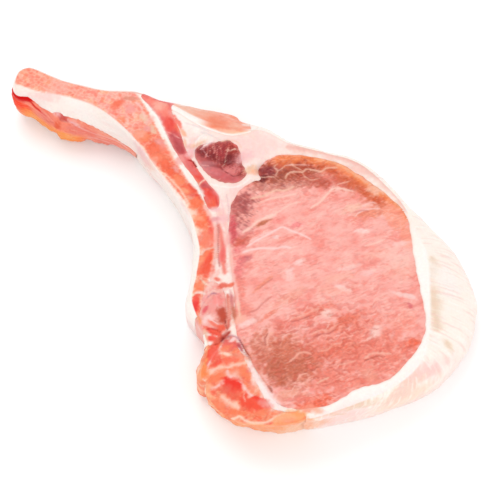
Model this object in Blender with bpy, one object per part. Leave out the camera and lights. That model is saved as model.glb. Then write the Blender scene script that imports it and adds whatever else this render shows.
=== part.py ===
"""Raw rib chop with its bone in, cut across the loin and lying on one of its two cut faces.

World axes in metres: +X runs from the end of the rib to the fat edge, +Z is up through the
thickness, and the origin lies under the middle of the bounding box, on the resting face.

One body is lofted from paired points along the inner side (rib and backbone) and the outer
side (back fat).  Every muscle and bone runs straight through the chop, so each is the body
inside its own outline, less the pieces named before it.  What is left over is the fat.
"""

import math

import bmesh
import bpy
import numpy as np

MM = 0.001

# Driving sizes, in millimetres.
THICKNESS = 19.0        # between the two cut faces, over the lean
GAP = 0.3               # left between neighbouring pieces
SLANT = (1.0, 3.0)      # the grain leans: the lower outlines lie this far from the upper ones
DRAWING_CENTRE = (1.5, -1.5)    # the point of the outlines below that stands over the origin
EDGE_ROUNDING = 0.8     # how far the rims of the cut faces pull in
LENGTH_STEPS = 5        # rows of faces between two sections
CROSS_STEPS = 30        # faces across one section
CROSS_CROWDING = 1.25   # crowds those faces towards the bones
OUTLINE_STEPS = 4       # straight pieces between two points of an outline

# Sections of the upper cut face from the rib end to the lower fat edge:
# inner x, inner y, inner lean, outer x, outer y, outer lean.  The lean is how far the
# side stands out below the rim, and is negative where it draws in.
SECTIONS = (
    (-71.1, 11.6, 1.0, -71.1, 11.6, 1.0),
    (-69.9, 7.6, 0.8, -69.6, 14.4, 0.8),
    (-67.8, 6.1, 0.3, -67.0, 15.3, 0.5),
    (-64.3, 7.3, 0.8, -63.5, 15.6, 0.5),
    (-56.5, 11.0, 5.8, -58.0, 16.3, 0.5),
    (-46.0, 12.9, 3.2, -47.6, 19.0, 1.8),
    (-36.0, 11.4, -0.8, -38.6, 23.1, 2.4),
    (-28.5, 8.8, -0.8, -32.0, 24.1, 2.2),
    (-22.0, 5.8, -1.8, -27.5, 25.0, 4.1),
    (-14.0, 2.3, -1.4, -19.0, 25.0, 7.6),
    (-6.8, -1.0, 0.0, -9.5, 27.0, 8.0),
    (-2.8, -4.5, 0.5, -3.0, 31.2, 3.7),
    (0.8, -8.5, 1.6, 6.0, 31.9, 2.2),
    (3.5, -14.5, 1.4, 15.5, 34.4, 2.8),
    (6.5, -21.5, 1.5, 26.0, 36.4, 3.0),
    (13.6, -27.2, -1.0, 39.0, 33.0, 2.7),
    (17.2, -31.0, 1.6, 46.7, 28.4, 5.7),
    (18.4, -36.4, 0.6, 54.0, 22.5, 9.8),
    (22.0, -40.0, -1.2, 59.5, 14.0, 13.5),
    (25.8, -42.0, -2.4, 64.5, 4.5, 11.5),
    (30.5, -43.0, -3.0, 67.0, -3.5, 6.3),
    (36.0, -42.0, -3.1, 65.3, -12.0, 2.3),
    (41.5, -39.3, -2.3, 59.0, -22.0, 0.3),
    (49.0, -33.8, -1.8, 49.0, -33.8, -1.8),
)

# Nicks in the side wall: x, y, half-width, depth.
NICKS = ((20.6, -38.9, 0.9, 1.1),)

# Heights in the side wall, as shares of the thickness, and how much of the edge rounding
# applies at each.
WALL_LEVELS = ((0.955, 0.3), (0.85, 0.0), (0.62, 0.0), (0.38, 0.0), (0.16, 0.0), (0.045, 0.3), (0.0, 1.0))
WIDEST_LEVEL = 0.4      # share of the thickness at which the side stands out furthest

# Outlines on the cut face, in millimetres.
EYE_OUTLINE = (
    (4.5, 18.0), (2.5, 20.5), (3.5, 24.5), (6.5, 27.5), (12.5, 30.5), (20.5, 33.0), (30.5, 32.5),
    (39.5, 30.8), (44.0, 28.6), (49.1, 22.2), (53.5, 16.5), (58.5, 10.5), (62.0, 6.0), (64.0, 0.0),
    (63.0, -8.0), (61.0, -14.0), (56.0, -19.0), (52.5, -25.5), (47.5, -30.5), (41.5, -33.0),
    (35.5, -31.5), (29.0, -27.0), (23.5, -24.0), (20.0, -21.0), (16.0, -14.5), (11.5, -8.5),
    (6.5, -1.5), (2.0, 6.5), (1.5, 12.5), (3.0, 16.0),
)
CAP_OUTLINE = (
    (-14.5, 15.0), (-15.0, 17.5), (-12.5, 20.5), (-8.5, 23.5), (-5.5, 23.0), (-2.0, 19.5),
    (0.5, 17.5), (0.0, 14.5), (-3.0, 12.0), (-7.0, 11.5), (-11.5, 13.0),
)
RIB_MUSCLE_OUTLINE = (
    (-36.5, 29.0), (-31.5, 31.0), (-28.8, 25.6), (-26.2, 22.2), (-21.6, 18.8), (-17.2, 14.8),
    (-11.0, 11.5), (-6.5, 9.5), (-2.5, 8.0), (-1.0, 5.0), (-3.0, 3.5), (-6.5, 6.0), (-10.0, 8.5),
    (-14.5, 10.5), (-19.5, 13.0), (-25.0, 16.5), (-30.5, 20.0), (-36.0, 22.0), (-38.0, 24.0),
)
OUTER_MUSCLE_OUTLINE = (
    (-31.0, 24.6), (-24.0, 23.8), (-19.0, 23.5), (-14.0, 24.0), (-9.0, 25.0), (-5.5, 28.0),
    (-3.5, 31.0), (-4.0, 36.0), (-10.0, 44.0), (-22.0, 44.0), (-31.0, 36.0),
)
TIP_MUSCLE_OUTLINE = (
    (-78.0, 5.8), (-71.0, 6.0), (-68.5, 6.2), (-64.7, 6.4), (-60.7, 6.1), (-55.6, 7.2), (-51.5, 7.8),
    (-45.4, 9.1), (-41.6, 9.7), (-37.5, 9.9), (-34.5, 8.8), (-36.0, 2.0), (-56.0, -2.0), (-74.0, -2.0),
    (-80.0, 3.0),
)
RIB_BONE_OUTLINE = (
    (-80.0, 12.0), (-74.0, 22.0), (-58.0, 26.0), (-46.0, 29.0), (-36.0, 30.0), (-31.0, 24.0),
    (-26.0, 19.0), (-20.0, 15.0), (-14.5, 12.0), (-9.0, 9.5), (-5.0, 7.0),
    (-1.5, 4.5), (2.0, 0.0), (5.0, -5.5), (6.5, -9.0), (7.5, -12.0), (8.5, -15.0), (10.0, -20.0),
    (11.0, -25.0), (6.0, -30.0), (-2.0, -24.0), (-8.0, -10.0), (-20.0, -4.0), (-32.0, 4.0),
    (-44.0, 4.0), (-60.0, 2.0), (-80.0, 2.0),
)
CARTILAGE_OUTLINE = (
    (7.5, -15.0), (11.0, -13.5), (14.6, -16.5), (17.4, -21.0), (17.8, -24.2), (16.0, -26.0),
    (13.0, -26.3), (11.0, -24.0), (9.5, -20.0),
)
CHINE_OUTLINE = (
    (13.0, -31.0), (17.0, -29.0), (20.0, -26.5), (23.0, -25.5), (27.0, -27.5), (31.5, -30.5),
    (36.0, -33.2), (39.5, -34.6), (42.6, -34.0), (45.5, -32.5), (48.5, -32.4), (51.5, -34.0), (57.0, -38.0),
    (44.0, -48.0), (28.0, -50.0), (14.0, -44.0), (8.0, -34.0),
)

# The backbone's border with the eye muscle, which its broken surface keeps clear of.
CHINE_BORDER = ((14.0, -30.0), (20.0, -27.0), (23.0, -26.0), (27.0, -28.0), (36.0, -34.0), (48.0, -36.0))

# Swells and hollows of the cut face: x, y, half-width along x, half-width along y, height.
FACE_FORMS = (
    (35.0, 2.0, 20.0, 22.0, 0.9),       # crown of the eye muscle
    (-7.0, 18.5, 5.0, 3.5, -1.8),       # torn bed of the cap muscle
    (-5.0, 13.5, 3.5, 2.0, 0.7),        # lump below it
    (3.2, 21.0, 1.5, 3.5, -1.1),        # crease between the fat web and the eye
    (-8.5, 8.0, 3.0, 1.6, -0.6),        # seam across the rib muscle
    (12.0, -28.5, 4.0, 2.0, -1.4),      # cleft between cartilage and backbone
    (14.5, -20.0, 3.5, 4.0, 0.6),       # cartilage knob
    (40.0, -34.0, 3.0, 2.0, -0.8),      # gap under the eye
    (66.0, -4.0, 4.0, 14.0, 0.5),       # roll of the fat rim
)
RIB_END_DROP = 1.5      # the cut face falls away towards the end of the rib
CHINE_DROP = 2.6        # and towards the corner of the backbone
CRAG_HEIGHT = 0.75      # broken, spongy backbone
CRAG_PITCH = 4.6
BEAD_HEIGHT = 0.35      # lumps of marrow along the rib
BEAD_PITCH = 5.0
FIBRE_HEIGHT = 0.35     # torn fibres in the cap muscle
FIBRE_PITCH = 2.4

# Layers in the order in which they claim the body: name, outline, colour, roughness.
LAYERS = (
    ("eye_muscle", EYE_OUTLINE, (0.82, 0.36, 0.30), 0.42),
    ("cap_muscle", CAP_OUTLINE, (0.28, 0.06, 0.06), 0.45),
    ("rib_muscle", RIB_MUSCLE_OUTLINE, (0.66, 0.12, 0.11), 0.42),
    ("outer_muscle", OUTER_MUSCLE_OUTLINE, (0.86, 0.36, 0.24), 0.45),
    ("tip_muscle", TIP_MUSCLE_OUTLINE, (0.80, 0.22, 0.16), 0.42),
    ("cartilage", CARTILAGE_OUTLINE, (0.86, 0.56, 0.50), 0.30),
    ("chine_bone", CHINE_OUTLINE, (0.88, 0.40, 0.28), 0.55),
    ("rib_bone", RIB_BONE_OUTLINE, (0.88, 0.42, 0.30), 0.50),
)
FAT_NAME = "fat"
FAT_COLOUR = (0.96, 0.86, 0.78)
FAT_ROUGHNESS = 0.38


def clear_scene():
    """Remove whatever objects the scene holds."""
    for item in list(bpy.data.objects):
        bpy.data.objects.remove(item, do_unlink=True)


def closed_curve(points, steps):
    """Points on the closed Catmull-Rom curve through the given points, steps to each span."""
    knots = np.array(points, dtype=float)
    before, after, beyond = np.roll(knots, 1, 0), np.roll(knots, -1, 0), np.roll(knots, -2, 0)
    t = (np.arange(steps) / steps)[None, :, None]
    p0, p1, p2, p3 = (group[:, None, :] for group in (before, knots, after, beyond))
    curve = 0.5 * (
        2 * p1 + (p2 - p0) * t + (2 * p0 - 5 * p1 + 4 * p2 - p3) * t ** 2
        + (3 * p1 - p0 - 3 * p2 + p3) * t ** 3
    )
    return curve.reshape(-1, knots.shape[1])


def outward_normals(loop):
    """Unit normals of a closed loop in the plane, pointing away from what it encloses."""
    along = np.roll(loop, -1, 0) - np.roll(loop, 1, 0)
    normals = np.stack((along[:, 1], -along[:, 0]), axis=1)
    normals /= np.linalg.norm(normals, axis=1, keepdims=True)
    nxt = np.roll(loop, -1, 0)
    area = np.sum(loop[:, 0] * nxt[:, 1] - nxt[:, 0] * loop[:, 1])
    return normals if area > 0 else -normals


def smooth_step(value, start, end):
    """Rise from 0 at start to 1 at end, level at both."""
    share = np.clip((value - start) / (end - start), 0.0, 1.0)
    return share * share * (3.0 - 2.0 * share)


def face_height(x, y):
    """Height of the upper cut face: the thickness plus its swells, hollows and broken bone."""
    height = np.full_like(x, THICKNESS)
    for x0, y0, width_x, width_y, rise in FACE_FORMS:
        height += rise * np.exp(-((x - x0) / width_x) ** 2 - ((y - y0) / width_y) ** 2)
    height -= RIB_END_DROP * smooth_step(-x, 30.0, 69.0)
    height -= CHINE_DROP * smooth_step(-y, 30.0, 42.0) * smooth_step(-x, -50.0, -34.0)

    chine_border = np.interp(x, *np.array(CHINE_BORDER).T)
    on_chine = smooth_step(chine_border - y, 0.0, 1.5)
    turn = 2.0 * math.pi / CRAG_PITCH
    crags = np.sin(turn * (x + 0.4 * y)) * np.sin(turn * (y - 0.3 * x)) + 0.4 * np.sin(0.9 * turn * (0.6 * x - y))
    height += CRAG_HEIGHT * crags * on_chine

    on_rib = smooth_step(-x, -6.0, 4.0) * smooth_step(14.0 - 0.2 * x - y, 0.0, 3.0)
    height += BEAD_HEIGHT * np.sin(2 * math.pi * (x - 0.8 * y) / BEAD_PITCH) * on_rib

    in_cap = np.exp(-((x + 7.0) / 6.0) ** 4 - ((y - 18.0) / 4.5) ** 4)
    height += FIBRE_HEIGHT * np.sin(2 * math.pi * (x + 0.5 * y) / FIBRE_PITCH) * in_cap
    return height


def side_offset(level, lean, rounding):
    """How far the side stands out from the rim at a height given as a share of the thickness."""
    swell = math.sin(0.5 * math.pi * min(1.0, (1.0 - level) / (1.0 - WIDEST_LEVEL)))
    return lean * swell + EDGE_ROUNDING * (1.0 - rounding)


def body_mesh():
    """The whole chop as one closed mesh: cut face, side walls and flat resting face."""
    sections = np.array(SECTIONS)
    inner, outer = sections[:, :3], sections[:, 3:]
    ring = closed_curve(np.vstack((inner, outer[-2:0:-1])), LENGTH_STEPS)
    half = (len(sections) - 1) * LENGTH_STEPS
    for x, y, width, depth in NICKS:
        away = np.hypot(ring[:, 0] - x, ring[:, 1] - y) / width
        ring[:, :2] -= outward_normals(ring[:, :2]) * (depth * np.exp(-away ** 2))[:, None]
    normals = outward_normals(ring[:, :2])
    inner_row = np.arange(half + 1)
    outer_row = (-inner_row) % len(ring)

    # The rims of the cut face pull in by the edge rounding, then the walls go down and out.
    rim = ring[:, :2] - normals * EDGE_ROUNDING
    share = (np.linspace(0.0, 1.0, CROSS_STEPS + 1) ** CROSS_CROWDING)[None, :, None]
    face = rim[inner_row][:, None, :] * (1.0 - share) + rim[outer_row][:, None, :] * share
    face_z = face_height(face[..., 0], face[..., 1])
    face = np.concatenate((face, face_z[..., None]), axis=2)

    def wall(row, column):
        levels = []
        for level, rounding in WALL_LEVELS:
            reach = side_offset(level, ring[row, 2], rounding)[:, None]
            foot = rim[row] + normals[row] * reach
            levels.append(np.column_stack((foot, face_z[:, column] * level)))
        return np.stack(levels, axis=1)

    inner_wall = wall(inner_row, 0)[:, ::-1]
    outer_wall = wall(outer_row, -1)
    grid = np.concatenate((inner_wall, face, outer_wall), axis=1)
    rows, columns = grid.shape[:2]
    index = np.arange(rows * columns).reshape(rows, columns)
    quads = np.stack((index[:-1, :-1], index[1:, :-1], index[1:, 1:], index[:-1, 1:]), axis=-1)

    mesh = bpy.data.meshes.new("chop_body")
    mesh.from_pydata(in_metres(grid.reshape(-1, 3)).tolist(), [], quads.reshape(-1, 4).tolist())
    work = bmesh.new()
    work.from_mesh(mesh)
    bmesh.ops.remove_doubles(work, verts=work.verts, dist=0.01 * MM)
    bmesh.ops.dissolve_degenerate(work, edges=work.edges, dist=0.01 * MM)
    rim_edges = [edge for edge in work.edges if edge.is_boundary]
    bmesh.ops.contextual_create(work, geom=rim_edges)
    bmesh.ops.recalc_face_normals(work, faces=work.faces)
    work.to_mesh(mesh)
    work.free()
    return mesh


def in_metres(points):
    """Points of the drawing, in millimetres, as world points in metres."""
    return (points - np.array((*DRAWING_CENTRE, 0.0))) * MM


def loop_at(loop, height):
    """A flat outline as points at one height, moved along the slant of the grain."""
    moved = loop + np.array(SLANT) * (1.0 - height / THICKNESS)
    return np.column_stack((moved, np.full(len(loop), height)))


def prism(name, outline, growth):
    """A hidden cutter: an outline, grown by a margin, carried right through the chop."""
    loop = closed_curve(outline, OUTLINE_STEPS)
    loop = loop + outward_normals(loop) * growth
    levels = [loop_at(loop, height) for height in (-5.0, THICKNESS + 5.0)]
    points = np.vstack(levels)
    count = len(loop)
    ring = np.arange(count)
    sides = np.stack((ring, np.roll(ring, -1), np.roll(ring, -1) + count, ring + count), axis=1)
    faces = sides.tolist() + [ring[::-1].tolist(), (ring + count).tolist()]
    mesh = bpy.data.meshes.new(name)
    mesh.from_pydata(in_metres(points).tolist(), [], faces)
    work = bmesh.new()
    work.from_mesh(mesh)
    bmesh.ops.recalc_face_normals(work, faces=work.faces)
    work.to_mesh(mesh)
    work.free()
    cutter = bpy.data.objects.new(name, mesh)
    cutter.hide_render = True
    cutter.display_type = "WIRE"
    bpy.context.collection.objects.link(cutter)
    return cutter


def material(name, colour, roughness):
    """A plain surface of one colour."""
    made = bpy.data.materials.new(name)
    made.use_nodes = True
    shader = made.node_tree.nodes["Principled BSDF"]
    shader.inputs["Base Color"].default_value = (*colour, 1.0)
    shader.inputs["Roughness"].default_value = roughness
    shader.inputs["Metallic"].default_value = 0.0
    return made


def add_boolean(item, operation, cutter):
    """Cut an object with an exact Boolean."""
    step = item.modifiers.new(f"{operation.lower()}_{cutter.name}", "BOOLEAN")
    step.operation = operation
    step.solver = "EXACT"
    step.object = cutter


def tidy(item):
    """Apply the cuts, merge flat neighbours and drop scraps that the cuts left loose."""
    evaluated = item.evaluated_get(bpy.context.evaluated_depsgraph_get())
    mesh = bpy.data.meshes.new_from_object(evaluated)
    item.modifiers.clear()
    item.data = mesh
    work = bmesh.new()
    work.from_mesh(mesh)
    bmesh.ops.remove_doubles(work, verts=work.verts, dist=0.02 * MM)
    bmesh.ops.dissolve_degenerate(work, edges=work.edges, dist=0.02 * MM)
    keep_largest_island(work)
    bmesh.ops.dissolve_limit(work, angle_limit=math.radians(0.5), verts=work.verts, edges=work.edges)
    bmesh.ops.triangulate(work, faces=work.faces, quad_method="BEAUTY", ngon_method="BEAUTY")
    work.to_mesh(mesh)
    work.free()


def keep_largest_island(work):
    """Delete every connected shell but the one with the most faces."""
    unseen = set(work.faces)
    islands = []
    while unseen:
        stack = [unseen.pop()]
        island = set(stack)
        while stack:
            for edge in stack.pop().edges:
                for face in edge.link_faces:
                    if face in unseen:
                        unseen.discard(face)
                        island.add(face)
                        stack.append(face)
        islands.append(island)
    largest = max(islands, key=len)
    loose = [face for face in work.faces if face not in largest]
    bmesh.ops.delete(work, geom=loose, context="FACES")


def build():
    """Make every layer and the fat that holds them."""
    clear_scene()
    body = body_mesh()
    makers = []
    claimed = []
    for name, outline, colour, roughness in LAYERS:
        own = prism(f"outline_{name}", outline, 0.0)
        piece = bpy.data.objects.new(name, body.copy())
        piece.data.materials.append(material(name, colour, roughness))
        bpy.context.collection.objects.link(piece)
        add_boolean(piece, "INTERSECT", own)
        for cutter in claimed:
            add_boolean(piece, "DIFFERENCE", cutter)
        claimed.append(prism(f"clearance_{name}", outline, GAP))
        makers.append(own)
        tidy(piece)

    fat = bpy.data.objects.new(FAT_NAME, body.copy())
    fat.data.materials.append(material(FAT_NAME, FAT_COLOUR, FAT_ROUGHNESS))
    bpy.context.collection.objects.link(fat)
    for cutter in claimed:
        add_boolean(fat, "DIFFERENCE", cutter)
    tidy(fat)

    for cutter in makers + claimed:
        bpy.data.objects.remove(cutter, do_unlink=True)


build()
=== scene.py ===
"""Raw rib chop with its bone in, dressed as fresh lean, fat, gristle and sawn bone.

The chop is one cut face shared out among its pieces.  Every piece is carried down from that
face to the underside, and the two thin muscles on the side walls are swept along the rim.
Plan sizes are in millimetres of the drawing, whose point FORM.centre stands over the origin.
"""

import logging
import math
from dataclasses import dataclass, field, replace
from enum import IntEnum
from typing import Sequence

import bpy
import numpy as np
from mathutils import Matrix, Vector


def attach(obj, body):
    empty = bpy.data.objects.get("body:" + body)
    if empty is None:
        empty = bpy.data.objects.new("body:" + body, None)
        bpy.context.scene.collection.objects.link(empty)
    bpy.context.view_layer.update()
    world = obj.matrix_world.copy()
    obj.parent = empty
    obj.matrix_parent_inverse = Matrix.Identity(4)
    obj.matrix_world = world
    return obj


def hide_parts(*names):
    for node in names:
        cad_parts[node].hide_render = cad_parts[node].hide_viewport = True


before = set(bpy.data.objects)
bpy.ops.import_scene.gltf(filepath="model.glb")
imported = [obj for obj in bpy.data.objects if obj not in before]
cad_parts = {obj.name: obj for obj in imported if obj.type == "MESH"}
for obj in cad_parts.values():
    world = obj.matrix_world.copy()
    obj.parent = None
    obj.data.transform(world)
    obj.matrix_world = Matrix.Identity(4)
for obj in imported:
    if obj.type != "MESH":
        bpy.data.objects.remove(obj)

Array = np.ndarray
Colour = tuple[float, float, float]
Points = Sequence[tuple[float, float]]

MM = 0.001
LIGHT_LEVEL = 1.2
SHEEN = 0.02
BODY = "root"
LOG = logging.getLogger("chop")


# ---------------------------------------------------------------- curves and distances


def spans(knots: Sequence[Array], steps: int) -> Array:
    """Lay points on Catmull-Rom cubics.

    About each span lie the knots p0 to p3.  For t from 0 to 1 the point is half of
    2 p1 + (p2 - p0) t + (2 p0 - 5 p1 + 4 p2 - p3) t^2 + (3 p1 - p0 - 3 p2 + p3) t^3.

    Args:
        knots: The four knots of every span, as four arrays.
        steps: Points laid on each span.

    Returns:
        The points, span after span.
    """
    t = (np.arange(steps) / steps)[None, :, None]
    p0, p1, p2, p3 = (knot[:, None, :] for knot in knots)
    square, cube = 2 * p0 - 5 * p1 + 4 * p2 - p3, 3 * p1 - p0 - 3 * p2 + p3
    return (0.5 * (2 * p1 + (p2 - p0) * t + square * t**2 + cube * t**3)).reshape(-1, p1.shape[2])


def closed_curve(points: Sequence[Sequence[float]], steps: int) -> Array:
    """Close a smooth curve through the points.

    Args:
        points: Knots of any dimension, in order.
        steps: Points laid on each span.

    Returns:
        Points along the closed curve.
    """
    knots = np.array(points, dtype=float)
    return spans([np.roll(knots, shift, 0) for shift in (1, 0, -1, -2)], steps)


def open_curve(points: Sequence[Sequence[float]], steps: int) -> Array:
    """Run a smooth curve through the points, with both ends carried on by mirroring.

    Args:
        points: Knots in order.
        steps: Points laid on each span.

    Returns:
        Points along the curve, both ends among them.
    """
    knots = np.array(points, dtype=float)
    knots = np.vstack((2 * knots[0] - knots[1], knots, 2 * knots[-1] - knots[-2]))
    return np.vstack((spans([knots[start : len(knots) - 3 + start] for start in range(4)], steps), knots[-2]))


def outward_normals(loop: Array) -> Array:
    """Unit normals of a closed plane loop, turned away from what it encloses.

    The tangent is the chord between a point's neighbours, turned by a right angle.

    Args:
        loop: Points of the loop.

    Returns:
        One unit normal for each point.
    """
    chord = np.roll(loop, -1, 0) - np.roll(loop, 1, 0)
    normals = np.stack((chord[:, 1], -chord[:, 0]), axis=1)
    normals /= np.linalg.norm(normals, axis=1, keepdims=True)
    after = np.roll(loop, -1, 0)
    area = np.sum(loop[:, 0] * after[:, 1] - after[:, 0] * loop[:, 1])
    return normals if area > 0 else -normals


def ramp(value: Array, start: float | Array, end: float | Array) -> Array:
    """Go from 0 at start to 1 at end as 3s^2 - 2s^3, level at both; either may be the lower."""
    share = np.clip((value - start) / (end - start), 0.0, 1.0)
    return share * share * (3.0 - 2.0 * share)


def bell(away: Array, width: float | Array) -> Array:
    """exp(-(away / width)^2), which is 1 in the middle."""
    return np.exp(-((away / width) ** 2))


def swells(rows: Sequence[tuple[float, ...]], x: Array, y: Array) -> Array:
    """Sum of bells; a row gives x, y, half-width along x, half-width along y and height."""
    return sum(rise * bell(x - x0, long) * bell(y - y0, wide) for x0, y0, long, wide, rise in rows)


def nearest_on_line(points: Array, line: Array, closed: bool) -> tuple[Array, Array]:
    """Find how far each point is from a polyline, and where along it.

    On the segment from p to q the nearest share is (x - p).(q - p) / |q - p|^2, held to 0..1.

    Args:
        points: Points in the plane.
        line: Corners of the polyline.
        closed: Whether the last corner joins the first.

    Returns:
        The distances, and the places as segment number plus share.
    """
    starts = line if closed else line[:-1]
    along = (np.roll(line, -1, 0) if closed else line[1:]) - starts
    length2 = np.maximum((along**2).sum(1), 1e-12)
    distance = np.empty(len(points))
    place = np.empty(len(points))
    parts = max(1, len(points) * len(starts) // 1_500_000)
    for rows in np.array_split(np.arange(len(points)), parts):
        dx = points[rows, 0:1] - starts[None, :, 0]
        dy = points[rows, 1:2] - starts[None, :, 1]
        share = np.clip((dx * along[:, 0] + dy * along[:, 1]) / length2, 0.0, 1.0)
        gap2 = (dx - share * along[:, 0]) ** 2 + (dy - share * along[:, 1]) ** 2
        best = gap2.argmin(1)
        pick = np.arange(len(rows))
        distance[rows] = np.sqrt(gap2[pick, best])
        place[rows] = best + share[pick, best]
    return distance, place


def inside_loop(points: Array, loop: Array) -> Array:
    """Tell which points a closed loop encloses, by counting the edges that a ray to +X crosses.

    Args:
        points: Points in the plane.
        loop: Corners of the loop.

    Returns:
        True where the count is odd.
    """
    x0, y0 = loop[:, 0], loop[:, 1]
    x1, y1 = np.roll(x0, -1), np.roll(y0, -1)
    slope = (x1 - x0) / np.where(y1 == y0, 1e-12, y1 - y0)
    result = np.empty(len(points), dtype=bool)
    parts = max(1, len(points) * len(loop) // 3_000_000)
    for rows in np.array_split(np.arange(len(points)), parts):
        px, py = points[rows, 0:1], points[rows, 1:2]
        spans = (y0 > py) != (y1 > py)
        result[rows] = (spans & (px < x0 + (py - y0) * slope)).sum(1) % 2 == 1
    return result


def on_loop(values: Array, place: Array) -> Array:
    """Read values given at a closed loop's points at places between them, by straight blending.

    Args:
        values: One value or row for each point.
        place: Places as point number plus share.

    Returns:
        One value or row for each place.
    """
    low = np.floor(place).astype(int)
    share = (place - low).reshape((-1,) + (1,) * (values.ndim - 1))
    return values[low % len(values)] * (1.0 - share) + values[(low + 1) % len(values)] * share


# ---------------------------------------------------------------- natural texture


@dataclass(frozen=True)
class Grain:
    """Smooth random texture in the plane, the same for the same seed."""

    seed: int
    lattice: int = 128

    def at(self, x: Array, y: Array) -> Array:
        """Gradient noise.

        Each corner of a unit lattice has a random direction; its dot products with the way
        to the point are blended by 6t^5 - 15t^4 + 10t^3.

        Args:
            x: First coordinate.
            y: Second coordinate.

        Returns:
            Values between about -1 and 1.
        """
        turn = np.random.default_rng(self.seed).uniform(0.0, 2.0 * math.pi, (self.lattice, self.lattice))
        i, j = np.floor(x).astype(int), np.floor(y).astype(int)
        fx, fy = x - i, y - j

        def corner(di: int, dj: int) -> Array:
            """Slope value carried in from one corner of the cell."""
            angle = turn[(i + di) % self.lattice, (j + dj) % self.lattice]
            return np.cos(angle) * (fx - di) + np.sin(angle) * (fy - dj)

        wx = fx**3 * (fx * (fx * 6.0 - 15.0) + 10.0)
        wy = fy**3 * (fy * (fy * 6.0 - 15.0) + 10.0)
        low = corner(0, 0) * (1.0 - wx) + corner(1, 0) * wx
        high = corner(0, 1) * (1.0 - wx) + corner(1, 1) * wx
        return 1.5 * (low * (1.0 - wy) + high * wy)

    def fractal(self, x: Array, y: Array, octaves: int = 3) -> Array:
        """Sum the texture at doubled scales and halved heights.

        Args:
            x: First coordinate.
            y: Second coordinate.
            octaves: Number of scales.

        Returns:
            Values between about -1.5 and 1.5.
        """
        total = np.zeros(np.broadcast(x, y).shape)
        for step in range(octaves):
            total += self.at(x * 2.0**step + 17.3 * step, y * 2.0**step - 9.1 * step) * 0.5**step
        return total

    def over(self, site: "Site", pitch: float, octaves: int = 3) -> Array:
        """The summed texture over the plan, in waves about one pitch long."""
        return self.fractal(site.x / pitch, site.y / pitch, octaves)

    def streaks(self, x: Array, y: Array, turn: float, length: float, width: float, octaves: int = 2) -> Array:
        """Texture drawn out along one direction.

        Args:
            x: Plan coordinate.
            y: Plan coordinate.
            turn: Direction in degrees.
            length: Size of a streak along that direction.
            width: Size across it.
            octaves: Number of scales.

        Returns:
            Values between about -1 and 1.
        """
        c, s = math.cos(math.radians(turn)), math.sin(math.radians(turn))
        return self.fractal((x * c + y * s) / length, (y * c - x * s) / width, octaves)

    def cells(self, x: Array, y: Array, pitch: float) -> tuple[Array, Array, Array]:
        """Cells around scattered centres, as in spongy bone.

        One centre lies at random in each square of the lattice, and the nine squares about a
        point are searched for its two nearest.

        Args:
            x: Plan coordinate.
            y: Plan coordinate.
            pitch: Mean distance between centres.

        Returns:
            Distance to the nearest centre, how much further the second is, both as shares of
            the pitch, and a random value from 0 to 1 for each cell.
        """
        rng = np.random.default_rng(self.seed)
        offsets = rng.uniform(0.1, 0.9, (self.lattice, self.lattice, 2))
        values = rng.uniform(0.0, 1.0, (self.lattice, self.lattice))
        u, v = x / pitch, y / pitch
        i, j = np.floor(u).astype(int), np.floor(v).astype(int)
        first = np.full(u.shape, 9.0)
        second = np.full(u.shape, 9.0)
        value = np.zeros(u.shape)
        for di in (-1, 0, 1):
            for dj in (-1, 0, 1):
                a, b = (i + di) % self.lattice, (j + dj) % self.lattice
                away = np.hypot(i + di + offsets[a, b, 0] - u, j + dj + offsets[a, b, 1] - v)
                nearer = away < first
                second = np.where(nearer, first, np.minimum(second, away))
                value = np.where(nearer, values[a, b], value)
                first = np.where(nearer, away, first)
        return first, second - first, value


# ---------------------------------------------------------------- the chop's form


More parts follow.
